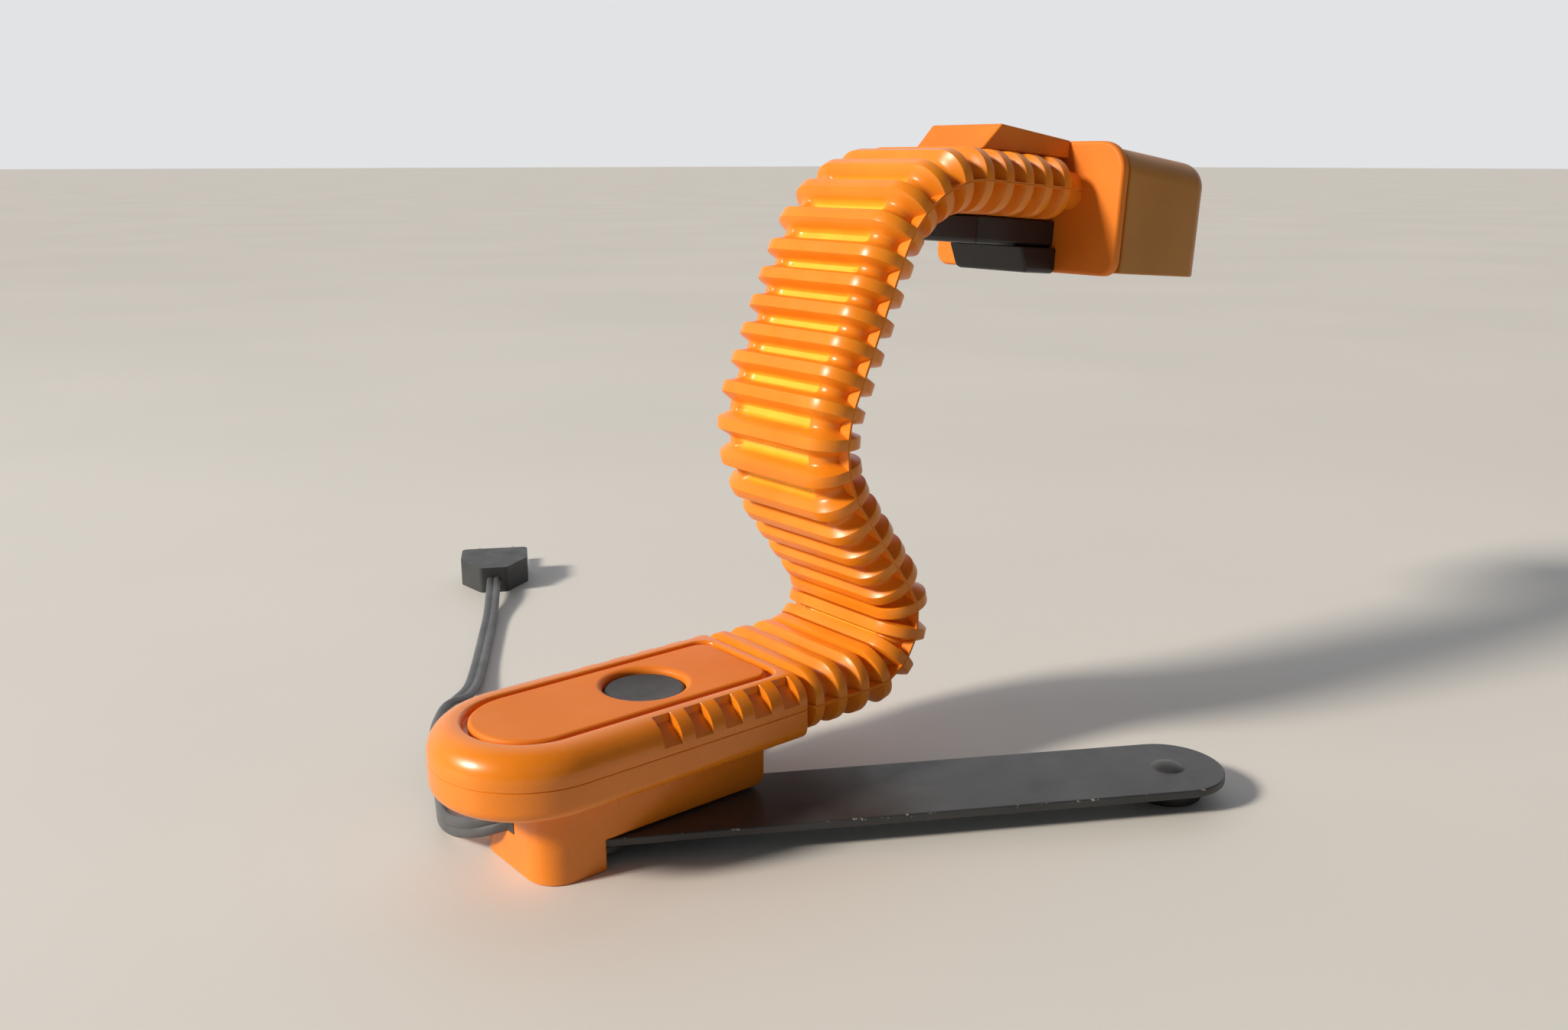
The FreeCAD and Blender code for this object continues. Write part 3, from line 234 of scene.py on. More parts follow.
# phenolic moulding of the lamp holder: hard, brown-black, slightly mottled
phenolic = plastic("phenolic", {
    "colour": "#2b2420", "deep": "#1f1a17", "driftMm": 4, "smudgeMm": 5, "roughness": (0.25, 0.36),
    "grainMm": 0.6, "relief": 0.08, "ior": 1.6,
})
# glass-filled nylon of the inner chain: grey with a slightly fibrous skin
filledNylon = plastic("filledNylon", {
    "colour": "#6a6b6c", "deep": "#575859", "driftMm": 3, "smudgeMm": 4, "roughness": (0.45, 0.6),
    "grainMm": 0.35, "relief": 0.3, "ior": 1.53,
})
# polyamide of the terminal block: milky and plain
milkyPolyamide = plastic("milkyPolyamide", {
    "colour": "#d8d6cb", "deep": "#cbc8ba", "driftMm": 6, "smudgeMm": 5, "roughness": (0.35, 0.45),
    "grainMm": 0.7, "relief": 0.06, "ior": 1.53, "glow": 0.15,
})


def enamelledSteel():
    # stove enamel on steel plate: dark grey and semi-gloss, with small bright chips along the edges
    material, tree, shader = newMaterial("stoveEnamel")
    tint, where = finishSurface(tree, shader, {
        "colour": "#3a3c3e", "deep": "#2f3133", "driftMm": 20, "smudgeMm": 10, "roughness": (0.3, 0.45),
        "grainMm": 0.6, "relief": 0.12,
    })
    edge = addNode(tree, "ShaderNodeAttribute", attribute_name="plateEdge").outputs["Fac"]
    spots = addNode(tree, "ShaderNodeTexNoise", {"Vector": where, "Scale": perMm(3.0), "Detail": 4.0})
    wear = addNode(tree, "ShaderNodeMath", {0: edge, 1: spots.outputs["Fac"]}, operation="MULTIPLY")
    mask = addNode(tree, "ShaderNodeMapRange", {"Value": wear.outputs[0], "From Min": 0.62, "From Max": 0.66})
    mixed = addNode(tree, "ShaderNodeMix", {
        "Factor": mask.outputs["Result"], "A": tint.outputs["Color"], "B": fromHex("#9a9b99"),
    }, data_type="RGBA")
    tree.links.new(mixed.outputs["Result"], shader.inputs["Base Color"])
    return material


def metal(name, look):
    material, tree, shader = newMaterial(name)
    shader.inputs["Metallic"].default_value = 1.0
    finishSurface(tree, shader, look)
    return material


stoveEnamel = enamelledSteel()
# zinc-plated steel: cool, softly bright, uneven where the plating is thin
zincSteel = metal("zincSteel", {
    "colour": "#a9abac", "deep": "#8e9092", "driftMm": 3, "smudgeMm": 2, "roughness": (0.28, 0.45),
    "grainMm": 0.4, "relief": 0.15,
})
# drawn spring wire: darker and smoother than plated steel
drawnWire = metal("drawnWire", {
    "colour": "#7e8082", "deep": "#6b6d6f", "driftMm": 2, "smudgeMm": 2, "roughness": (0.25, 0.35),
    "grainMm": 0.3, "relief": 0.1,
})
# nickel-plated brass pins and bulb cap: warm grey mirror with fine scratches
nickelledBrass = metal("nickelledBrass", {
    "colour": "#c9c0a8", "deep": "#b5ab90", "driftMm": 4, "smudgeMm": 2, "roughness": (0.18, 0.3),
    "grainMm": 0.3, "relief": 0.08,
})
# raw cast iron ballast: dark, rough and granular
castIron = metal("castIron", {
    "colour": "#4b4a48", "deep": "#3a3836", "driftMm": 4, "smudgeMm": 3, "roughness": (0.6, 0.8),
    "grainMm": 0.9, "relief": 0.7,
})
# spun aluminium reflector: bright and slightly brushed
spunAluminium = metal("spunAluminium", {
    "colour": "#dcdddd", "deep": "#cfd0d0", "driftMm": 12, "smudgeMm": 5, "roughness": (0.24, 0.36),
    "grainMm": 0.5, "relief": 0.12,
})


def opalGlass():
    # acid-etched bulb glass: milky white with a soft shine
    material, tree, shader = newMaterial("opalGlass")
    shader.inputs["IOR"].default_value = 1.52
    shader.inputs["Transmission Weight"].default_value = 0.35
    finishSurface(tree, shader, {
        "colour": "#f3f2ec", "deep": "#eae8df", "driftMm": 8, "smudgeMm": 6, "roughness": (0.3, 0.42),
        "grainMm": 0.4, "relief": 0.05,
    })
    return material


etchedGlass = opalGlass()
print("materials made:", len(bpy.data.materials))


def paintNode(name, material):
    slots = nodes[name].material_slots
    if not slots:
        nodes[name].data.materials.append(material)
    for item in slots:
        item.material = material


nodeFinishes = {
    "base_top_shell": polishedAbs, "base_tray": polishedAbs, "base_keel": polishedAbs,
    "top_panel": mouldedAbs, "push_button": sparkErodedAbs, "button_spring": drawnWire,
    "switch_body": satinPolypropylene, "terminal_block": milkyPolyamide, "ballast_plate": castIron,
    "cord_clamp": satinPolypropylene, "base_screws": zincSteel, "leg_pivot_screw": zincSteel,
    "leg_pivot_nut": zincSteel, "pivot_washers": zincSteel, "neck_anchor": filledNylon,
    "cord_bush": pvcOvermould, "plug_body": pvcOvermould, "plug_pins": nickelledBrass,
    "leg_right": stoveEnamel, "leg_left": stoveEnamel, "foot_right": nitrileRubber,
    "foot_left": nitrileRubber, "rivet_right": stoveEnamel, "rivet_left": stoveEnamel,
    "head_back_plate": mouldedAbs, "head_hood": mouldedAbs, "head_shade": ochreAbs,
    "head_reflector": spunAluminium, "neck_clamp": satinPolypropylene, "holder_cover": satinPolypropylene,
    "lamp_holder": phenolic, "bulb_cap": nickelledBrass, "bulb_glass": etchedGlass, "head_screws": zincSteel,
}
for name in nodes:
    if name.startswith("neck_link"):
        nodeFinishes[name] = filledNylon
    elif name.startswith(("neck_front", "neck_back", "neck_root")):
        nodeFinishes[name] = bellowsPolypropylene
    elif name in ("cord_lead", "cord_coil", "cord_tail"):
        nodeFinishes[name] = pvcSheath
for name, material in nodeFinishes.items():
    paintNode(name, material)
print("CAD nodes painted:", len(nodeFinishes))


def finishPiece(name, work, material, crease, levelNormals):
    # weld, turn the faces outward, shade smooth with real edges kept
    bmesh.ops.remove_doubles(work, verts=work.verts, dist=0.003 * mm)
    bmesh.ops.recalc_face_normals(work, faces=work.faces)
    data = bpy.data.meshes.new(name)
    work.to_mesh(data)
    work.free()
    data.materials.clear()
    data.materials.append(material)
    data.shade_smooth()
    data.set_sharp_from_angle(angle=math.radians(crease))
    piece = bpy.data.objects.new(name, data)
    bpy.context.scene.collection.objects.link(piece)
    if levelNormals:
        piece.modifiers.new("levelNormals", "WEIGHTED_NORMAL").keep_sharp = True
    return piece


def meshPiece(name, points, faces, material, crease=35.0, levelNormals=False):
    data = bpy.data.meshes.new(name + "Draft")
    data.from_pydata([Vector(p) * mm for p in points], [], faces)
    work = bmesh.new()
    work.from_mesh(data)
    bpy.data.meshes.remove(data)
    return finishPiece(name, work, material, crease, levelNormals)


def gather(*parts):
    # several point and face lists as one
    points, faces = [], []
    for more, moreFaces in parts:
        start = len(points)
        points += more
        faces += [tuple(start + i for i in face) for face in moreFaces]
    return points, faces


def flatWithHole(outer, inner):
    # a flat face between two loops
    loops = [[Vector(p) for p in outer], [Vector(p) for p in inner]]
    return outer + inner, [tuple(t) for t in tessellate_polygon(loops)]


def lid(loop):
    return list(loop), [tuple(range(len(loop)))]


def softened(name, node, width, material, firstCut=None):
    # a CAD node's own shape with its sharp edges rounded over
    work = bmesh.new()
    work.from_mesh(nodes[node].data)
    bmesh.ops.remove_doubles(work, verts=work.verts, dist=0.002 * mm)
    bmesh.ops.dissolve_limit(work, angle_limit=math.radians(0.6), verts=work.verts, edges=work.edges)
    if firstCut:
        middles = {e: (e.verts[0].co + e.verts[1].co) / 2 / mm for e in work.edges}
        chosen = [e for e in work.edges if firstCut["where"](middles[e])]
        bmesh.ops.bevel(
            work, geom=chosen, offset=firstCut["width"] * mm, segments=6, profile=0.5, affect="EDGES",
        )
    sharp = [e for e in work.edges if len(e.link_faces) == 2 and e.calc_face_angle(0) > math.radians(32)]
    bmesh.ops.bevel(
        work, geom=sharp, offset=width * mm, segments=3, profile=0.5, affect="EDGES", clamp_overlap=False,
    )
    piece = finishPiece(name, work, material, 40.0, True)
    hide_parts(node)
    return piece


def skin(rings):
    # quads between closed rings of the same number of points
    count = len(rings[0])
    points = [p for ring in rings for p in ring]
    faces = []
    for row in range(len(rings) - 1):
        a, b = row * count, (row + 1) * count
        for i in range(count):
            j = (i + 1) % count
            faces.append((a + i, a + j, b + j, b + i))
    return points, faces


def arc(count, start=0, sweep=90):
    # angles in radians, evenly spaced from start over sweep degrees, both ends included
    return [math.radians(start + sweep * step / count) for step in range(count + 1)]


def roundedLoop(noseX, radius, rear, corner, noseSteps, z):
    # a level loop with a half-round nose and two rounded rear corners
    loop = [(noseX + radius * math.cos(a), radius * math.sin(a), z) for a in arc(noseSteps, 90, 180)]
    for start, side in ((-90, -1), (0, 1)):
        for a in arc(8, start):
            x = rear - corner + corner * math.cos(a)
            loop.append((x, side * (radius - corner) + corner * math.sin(a), z))
    return loop


# Cord: flat twin flex from the keel's front window, wound behind the base, then off to its plug

flex = {
    "width": 7.2,
    "thick": 3.3,
    "length": 1.8,  # metres
    "exit": (-5.8, -1.6, 17.9),
    "lead": [
        (-12.4, 2.4, 15.7), (-17.0, 10.0, 12.0), (-19.3, 21.0, 7.9), (-18.2, 35.5, 4.8), (-11.8, 50.5, 3.4),
    ],
    "coilCentre": (32.0, 74.5),
    "coilOuter": 31.2,
    "coilPitch": 3.3,
    "coilTurns": 5,
    "coilLow": 3.8,
    "coilRise": 7.3,
    "riseTurns": 0.8,
    "ringGrow": 1.01,  # a curve runs a little inside its control points
    "entryAngle": 151.0,
    "pointsPerTurn": 16,
    "tail": [
        (24.8, 119.8, 8.0), (42.5, 134.5, 4.2), (61.0, 163.5, 2.2), (81.5, 196.5, 2.2), (100.5, 227.0, 2.4),
        (114.0, 250.0, 6.85),
    ],
    "end": (122.4, 265.0, 6.85),
    "layDownBefore": (0.03, 0.112),  # metres; on edge up to here, then flat
    "layDownOver": 0.03,
    "coreSteps": 9,
    "grooveY": 0.42, "grooveShoulder": 0.9, "grooveBottom": 0.62,
}


def coilPoints():
    # two layers on edge, in to the middle and out again on top
    points = []
    total = 2 * flex["coilTurns"]
    steps = total * flex["pointsPerTurn"]
    for step in range(steps + 1):
        turn = step * total / steps
        inward = turn if turn <= flex["coilTurns"] else total - turn
        radius = flex["coilOuter"] - inward * flex["coilPitch"]
        rise = smoothStep((turn - flex["coilTurns"]) / flex["riseTurns"] + 0.5)
        angle = math.radians(flex["entryAngle"] - 360 * turn)
        x = flex["coilCentre"][0] + radius * flex["ringGrow"] * math.cos(angle)
        y = flex["coilCentre"][1] + radius * flex["ringGrow"] * math.sin(angle)
        points.append((x, y, flex["coilLow"] + flex["coilRise"] * rise))
    return points


def splineThrough(name, points):
    # the points of a smooth curve, taken from a curve with no bevel
    line = bpy.data.curves.new(name, "CURVE")
    line.dimensions = "3D"
    line.resolution_u = 6
    spline = line.splines.new("NURBS")
    spline.points.add(len(points) - 1)
    for point, place in zip(spline.points, points):
        point.co = (*[value * mm for value in place], 1.0)
    spline.order_u = 3
    spline.use_endpoint_u = True
    holder = bpy.data.objects.new(name, line)
    data = bpy.data.meshes.new_from_object(holder)
    places = [v.co.copy() for v in data.vertices]
    bpy.data.meshes.remove(data)
    bpy.data.objects.remove(holder)
    bpy.data.curves.remove(line)
    return places


route = [flex["exit"]] + flex["lead"] + coilPoints() + flex["tail"] + [flex["end"]]
centres = splineThrough("flexRoute", route)


def twinSection():
    # two round cores side by side with a groove between, the long way along the first number
    core = flex["thick"] / 2
    offset = flex["width"] / 2 - core
    shoulder, height = offset * flex["grooveY"], core * flex["grooveShoulder"]
    dip = core * flex["grooveBottom"]
    points = [(offset + core * math.cos(a), core * math.sin(a)) for a in arc(flex["coreSteps"], -90, 180)]
    points += [(shoulder, height), (0.0, dip), (-shoulder, height)]
    points += [(-offset + core * math.cos(a), core * math.sin(a)) for a in arc(flex["coreSteps"], 90, 180)]
    return points + [(-shoulder, -height), (0.0, -dip), (shoulder, -height)]


def makeFlex():
    section = twinSection()
    run = [0.0]
    for before, after in zip(centres, centres[1:]):
        run.append(run[-1] + (after - before).length)
    # on edge from the window and through the coil, lying flat on the way to the plug
    lastX, lastY = flex["layDownBefore"]
    turnOver = run[max(i for i, p in enumerate(centres) if p.y < lastY and p.x < lastX)]
    rings = []
    for i, centre in enumerate(centres):
        ahead = centres[min(i + 1, len(centres) - 1)] - centres[max(i - 1, 0)]
        ahead.normalize()
        side = ahead.cross(Vector((0, 0, 1))).normalized()
        up = side.cross(ahead).normalized()
        lie = smoothStep((run[i] - turnOver) / flex["layDownOver"]) * math.pi / 2
        long = up * math.cos(lie) + side * math.sin(lie)
        short = side * math.cos(lie) - up * math.sin(lie)
        rings.append([(centre + (long * a + short * b) * mm) / mm for a, b in section])
    points, faces = skin(rings)
    count = len(section)
    faces.append(tuple(reversed(range(count))))
    faces.append(tuple(range(len(points) - count, len(points))))
    piece = meshPiece("twinFlex", points, faces, pvcSheath, 50.0)
    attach(piece, "base")
    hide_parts("cord_lead", "cord_coil", "cord_tail")


makeFlex()
print("flex laid")


# Floor and studio light, in metres


def satinFloor():
    # pale painted board: even and dull, so that the lamp's shadow stays soft
    material, tree, shader = newMaterial("paleBoard")
    finishSurface(tree, shader, {
        "colour": "#dddddb", "deep": "#d8d8d6", "driftMm": 400, "smudgeMm": 200, "roughness": (0.55, 0.65),
        "grainMm": 3.0, "relief": 0.02,
    })
    return material


studio = {
    "floorHalf": 40.0,
    "sunFrom": (-1.7, 0.5, 1.0), "sunWidth": 9.0, "sunStrength": 3.4, "sunColour": "#fff0dc",
    "windowPlace": (-1.5, 0.6, 1.0), "windowSize": 0.75, "windowPower": 9.0,
    "fillPlace": (-0.6, -1.9, 1.6), "fillSize": 1.6, "fillPower": 0.9,
    "aim": (0.12, 0.0, 0.12),
    "sky": "#f3f4f6", "skyNear": 0.1, "skyFar": 0.85, "skyTurn": (0.56, 0.78, 0.0),
}


def makeFloor():
    grid = bmesh.new()
    bmesh.ops.create_grid(grid, x_segments=8, y_segments=8, size=studio["floorHalf"])
    data = bpy.data.meshes.new("studioFloor")
    grid.to_mesh(data)
    grid.free()
    data.materials.append(satinFloor())
    floor = bpy.data.objects.new("studioFloor", data)
    bpy.context.scene.collection.objects.link(floor)


def softLight(name, place, size, power, colour):
    data = bpy.data.lights.new(name, "AREA")
    data.shape = "DISK"
    data.size = size
    data.energy = power
    data.color = fromHex(colour)[:3]
    lamp = bpy.data.objects.new(name, data)
    lamp.location = place
    towards = Vector(studio["aim"]) - Vector(place)
    lamp.rotation_euler = towards.to_track_quat("-Z", "Y").to_euler()
    bpy.context.scene.collection.objects.link(lamp)


def keySun():
    # one broad soft source from the nose end, even over the whole floor
    data = bpy.data.lights.new("keySun", "SUN")
    data.angle = math.radians(studio["sunWidth"])
    data.energy = studio["sunStrength"]
    data.color = fromHex(studio["sunColour"])[:3]
    sun = bpy.data.objects.new("keySun", data)
    sun.rotation_euler = (-Vector(studio["sunFrom"])).to_track_quat("-Z", "Y").to_euler()
    bpy.context.scene.collection.objects.link(sun)


makeFloor()
keySun()
softLight("windowLight", studio["windowPlace"], studio["windowSize"], studio["windowPower"], "#ffffff")
softLight("fillLight", studio["fillPlace"], studio["fillSize"], studio["fillPower"], "#ffffff")


def makeSky():
    # dim room with one pale wall behind the lamp, as in a studio with a lit backdrop
    world = bpy.data.worlds.new("studioSky")
    world.use_nodes = True
    tree = world.node_tree
    towards = addNode(tree, "ShaderNodeTexCoord").outputs["Generated"]
    facing = addNode(tree, "ShaderNodeVectorMath", {
        0: towards, 1: studio["skyTurn"],
    }, operation="DOT_PRODUCT")
    level = addNode(tree, "ShaderNodeMapRange", {
        "Value": facing.outputs["Value"], "From Min": 0.0, "From Max": 0.75,
        "To Min": studio["skyNear"], "To Max": studio["skyFar"],
    }, interpolation_type="SMOOTHSTEP")
    background = tree.nodes["Background"]
    background.inputs["Color"].default_value = fromHex(studio["sky"])
    tree.links.new(level.outputs["Result"], background.inputs["Strength"])
    bpy.context.scene.world = world


makeSky()
print("studio set")


# Base housing: an upper shell with side notches over a shallow tray

housing = {
    "noseX": -1.3, "halfWidth": 33.4, "rearX": 87.8, "rearRound": 0.9, "rearSteps": 4, "noseSteps": 48,
    "top": 50.5, "seam": 39.2, "floor": 28.0, "topRadius": 9.0, "bottomRadius": 4.5,
    "seamRound": 0.55, "seamDepth": 0.45,
    "notches": 5, "notchPitch": 12.3, "notchLength": 6.8, "lastNotchEnd": 83.8,
    "notchWallY": 26.0, "notchWallLow": 47.6, "notchMouthLow": 42.0, "notchRound": 0.4,
    "grooveHalf": 22.1, "grooveRear": 84.4, "grooveCorner": 6.0, "grooveFloor": 47.5, "lipRound": 1.2,
    "holeX": 42.3, "holeRadius": 14.4, "holeLow": 45.5,
    "partingGap": 0.03, "stepIn": 0.16, "crease": 32.0,
}
fullyPressed = 99.0  # deeper than any notch, so the point goes all the way in


def housingStations():
    # places round the plan from the left rear, round the nose, to the right rear:
    # kind, place along it, how far the rear edge is rounded in, how far it is pressed into a notch
    side = []
    rounding = housing["rearRound"]
    for a in arc(housing["rearSteps"]):
        side.append((housing["rearX"] - rounding * (1 - math.sin(a)), rounding * (1 - math.cos(a)), 0.0))
    edge = housing["notchRound"]
    for index in range(housing["notches"]):
        end = housing["lastNotchEnd"] - index * housing["notchPitch"]
        start = end - housing["notchLength"]
        for outward, at in ((-1, start), (1, end)):
            steps = ((edge, 0.0), (edge * 0.35, edge * 0.3), (0.01, edge), (-0.01, fullyPressed))
            side += [(at + outward * beyond, 0.0, press) for beyond, press in steps]
    side += [(12.0, 0.0, 0.0), (2.0, 0.0, 0.0)]
    side.sort()
    stations = [("left", x, shrink, press) for x, shrink, press in reversed(side)]
    for step in range(housing["noseSteps"] + 1):
        stations.append(("nose", 90 + 180 * step / housing["noseSteps"], 0.0, 0.0))
    return stations + [("right", x, shrink, press) for x, shrink, press in side]


def onHousing(station, inset, z):
    kind, value = station[:2]
    reach = housing["halfWidth"] - inset
    if kind == "nose":
        angle = math.radians(value)
        return (housing["noseX"] + reach * math.cos(angle), reach * math.sin(angle), z)
    return (value, reach if kind == "left" else -reach, z)


def notchSection():
    # the inset and height that match each point of the fillet inside a notch
    wall, low, edge = housing["halfWidth"] - housing["notchWallY"], housing["notchWallLow"], 0.014
    mouth, radius = housing["notchMouthLow"], housing["topRadius"]
    section = [(edge + (wall - edge) * k / 9, mouth + (low - mouth) * k / 9) for k in range(9)]
    top = housing["top"] - radius + math.sqrt(radius ** 2 - (radius - wall) ** 2)
    return section + [(wall, low + (top - low) * k / 3) for k in range(4)]


def shellSection():
    # inset, height and the direction in, from the seam up to the flat top, and where the notches begin
    seam, step = housing["seam"] + housing["partingGap"], housing["stepIn"]
    section = [(housing["seamDepth"], seam, 1, 0), (step, seam, 1, 0)]
    section += [(0.06, seam + step / 2, 1, 0), (0, seam + 0.25, 1, 0)]
    radius = housing["topRadius"]
    low = housing["top"] - radius
    wall = housing["halfWidth"] - housing["notchWallY"]
    first = math.asin((housing["notchMouthLow"] - low) / radius)
    last = math.acos((radius - wall) / radius)
    angles = [first + (last - first) * k / 12 for k in range(13)]
    for a in [0.0, *angles, math.radians(85), math.radians(90)]:
        section.append((radius * (1 - math.cos(a)), low + radius * math.sin(a), math.cos(a), -math.sin(a)))
    return section, 5


def traySection():
    # the same for the tray, from the seam down to the flat bottom
    soft, radius = housing["seamRound"], housing["bottomRadius"]
    seam = housing["seam"] - housing["partingGap"]
    section = [(housing["seamDepth"], seam - 0.02, 1, 0), (soft * 0.6, seam - 0.04, 1, 0)]
    section += [(soft * 0.2, seam - soft * 0.35, 1, 0), (0, seam - soft, 1, 0)]
    for a in arc(8):
        rise = housing["floor"] + radius * (1 - math.sin(a))
        section.append((radius * (1 - math.cos(a)), rise, math.cos(a), math.sin(a)))
    return section


def grooveLoop(grow, z):
    radius, rear, corner = (housing[name] + grow for name in ("grooveHalf", "grooveRear", "grooveCorner"))
    return roundedLoop(housing["noseX"], radius, rear, corner, 48, z)


def circleLoop(x, y, radius, z, count=64):
    angles = [2 * math.pi * i / count for i in range(count)]
    return [(x + radius * math.cos(a), y + radius * math.sin(a), z) for a in angles]


def sideSkin(section, stations, pressed=None, firstPressed=0):
    columns = []
    for station in stations:
        column = []
        for index, (inset, z, inwardD, inwardZ) in enumerate(section):
            inset, z = inset + station[2] * inwardD, z + station[2] * inwardZ
            if pressed and station[3] and 0 <= index - firstPressed < len(pressed):
                target = pressed[index - firstPressed]
                gap = math.hypot(target[0] - inset, target[1] - z)
                share = min(1.0, station[3] / gap) if gap > 0.001 else 1.0
                inset, z = inset + (target[0] - inset) * share, z + (target[1] - z) * share
            column.append(onHousing(station, inset, z))
        columns.append(column)
    points, faces = [p for column in columns for p in column], []
    high = len(section)
    for i in range(len(columns) - 1):
        for k in range(high - 1):
            a, b = i * high + k, (i + 1) * high + k
            faces.append((a, b, b + 1, a + 1))
    # the flat strips across the rounded rear edge, between left and right
    last = len(columns) - 1
    for i in range(housing["rearSteps"]):
        a, b = i * high + high - 1, (i + 1) * high + high - 1
        c, d = (last - i) * high + high - 1, (last - i - 1) * high + high - 1
        faces.append((a, b, d, c))
    # the rear wall
    faces.append(tuple(range(high)) + tuple(last * high + k for k in reversed(range(high))))
    return columns, (points, faces)


def flatRim(columns):
    # the top or bottom edge without the columns that round the rear
    return [column[-1] for column in columns[housing["rearSteps"] : -housing["rearSteps"]]]


def makeHousing():
    stations = housingStations()
    section, firstPressed = shellSection()
    columns, sides = sideSkin(section, stations, notchSection(), firstPressed)
    lip, top, floor = housing["lipRound"], housing["top"], housing["grooveFloor"]
    loops = [grooveLoop(lip * (1 - math.sin(a)), top - lip * (1 - math.cos(a))) for a in arc(5)]
    loops += [grooveLoop(0, floor + 0.3), grooveLoop(-0.3, floor)]
    heights = (floor, housing["holeLow"])
    hole, holeLow = (circleLoop(housing["holeX"], 0, housing["holeRadius"], z) for z in heights)
    parts = [sides, flatWithHole(flatRim(columns), loops[0]), skin(loops), flatWithHole(loops[-1], hole)]
    parts.append(skin([hole, holeLow]))
    shell = meshPiece("upperShell", *gather(*parts), polishedAbs, housing["crease"], True)
    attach(shell, "base")
    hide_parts("base_top_shell")

    plain = [s for s in stations if s[3] == 0.0]
    columns, sides = sideSkin(traySection(), plain)
    tray = meshPiece("lowerTray", *gather(sides, lid(flatRim(columns))), polishedAbs, housing["crease"], True)
    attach(tray, "base")
    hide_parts("base_tray")


makeHousing()
print("housing made")


# Top panel, set in the shell's groove, and the push button in it

cover = {
    "noseX": -1.3, "halfWidth": 20.1, "rearX": 82.4, "corner": 6.0, "low": 47.5, "top": 50.5,
    "edgeRound": 1.35, "edgeBelow": 0.2,
    "buttonX": 42.3, "holeRadius": 14.4, "lipRadius": 16.7, "lipDepth": 1.9,
    "buttonRadius": 14.0, "buttonTop": 48.6, "buttonLow": 45.2,
    # the button's face from its side in: how far in from the rim, and how far below the top
    "face": [
        (0.0, 1.0), (0.08, 0.62), (0.32, 0.26), (0.7, 0.06), (1.2, 0.0), (1.9, 0.08), (3.2, 0.34),
        (5.5, 0.62), (8.5, 0.8), (12.0, 0.9),
    ],
}


def panelLoop(grow, z):
    radius, rear, corner = (cover[name] + grow for name in ("halfWidth", "rearX", "corner"))
    return roundedLoop(cover["noseX"], radius, rear, corner, 56, z)


def makePanel():
    soft, top, low = cover["edgeRound"], cover["top"], cover["low"]
    loops = [panelLoop(0, low), panelLoop(0, top - soft - cover["edgeBelow"])]
    loops += [panelLoop(-soft * (1 - math.cos(a)), top - soft + soft * math.sin(a)) for a in arc(6)]
    lips = []
    span = cover["lipRadius"] - cover["holeRadius"]
    for a in arc(7):
        radius, dip = cover["lipRadius"] - span * math.sin(a), cover["lipDepth"] * (1 - math.cos(a))
        lips.append(circleLoop(cover["buttonX"], 0, radius, top - dip, 72))
    lips.append(circleLoop(cover["buttonX"], 0, cover["holeRadius"], low, 72))
    parts = gather(skin(loops), flatWithHole(loops[-1], lips[0]), skin(lips))
    panel = meshPiece("topPanel", *parts, mouldedAbs, housing["crease"], True)
    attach(panel, "base")
    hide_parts("top_panel")


def makeButton():
    # a rounded rim round a shallow dished face
    radius, top = cover["buttonRadius"], cover["buttonTop"]
    section = [(0.0, top - cover["buttonLow"])] + cover["face"]
    loops = [circleLoop(cover["buttonX"], 0, radius - inset, top - down, 72) for inset, down in section]
    button = meshPiece("dishedButton", *gather(skin(loops), lid(loops[-1])), sparkErodedAbs, 40.0)
    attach(button, "button")
    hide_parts("push_button")


makePanel()
makeButton()
print("panel and button made")


# Keel and foot block, feet, and the two plate legs

keel = {"rearX": 76.9, "low": 10.8, "cornerY": 21.0, "edgeRound": 0.8, "rearRound": 4.0}
legs = {
    "pivot": (16.2, 0.0), "reach": 210.5, "halfWidth": 20.0, "thick": 3.0, "edgeRound": 0.55,
    "wornBand": 0.9, "footRound": 0.9,
    "right": {"angle": -29.7, "low": 7.3}, "left": {"angle": 27.7, "low": 3.8},
}


def onRearEdge(p):
    return abs(p.x - keel["rearX"]) < 0.05 and abs(p.z - keel["low"]) < 0.05 and abs(p.y) < keel["cornerY"]


def makeKeel():
    piece = softened("keelBox", "base_keel", keel["edgeRound"], polishedAbs, {
        "width": keel["rearRound"], "where": onRearEdge,
    })
    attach(piece, "base")


def legLoop(side, inset, z):
    turn = math.radians(legs[side]["angle"])
    pivotX, pivotY = legs["pivot"]
    radius = legs["halfWidth"] - inset
    loop = []
    for centre, start in ((0.0, 90), (legs["reach"], -90)):
        for a in arc(40, start, 180):
            x, y = centre + radius * math.cos(a), radius * math.sin(a)
            turnedX = x * math.cos(turn) - y * math.sin(turn)
            turnedY = x * math.sin(turn) + y * math.cos(turn)
            loop.append((pivotX + turnedX, pivotY + turnedY, z))
    return loop


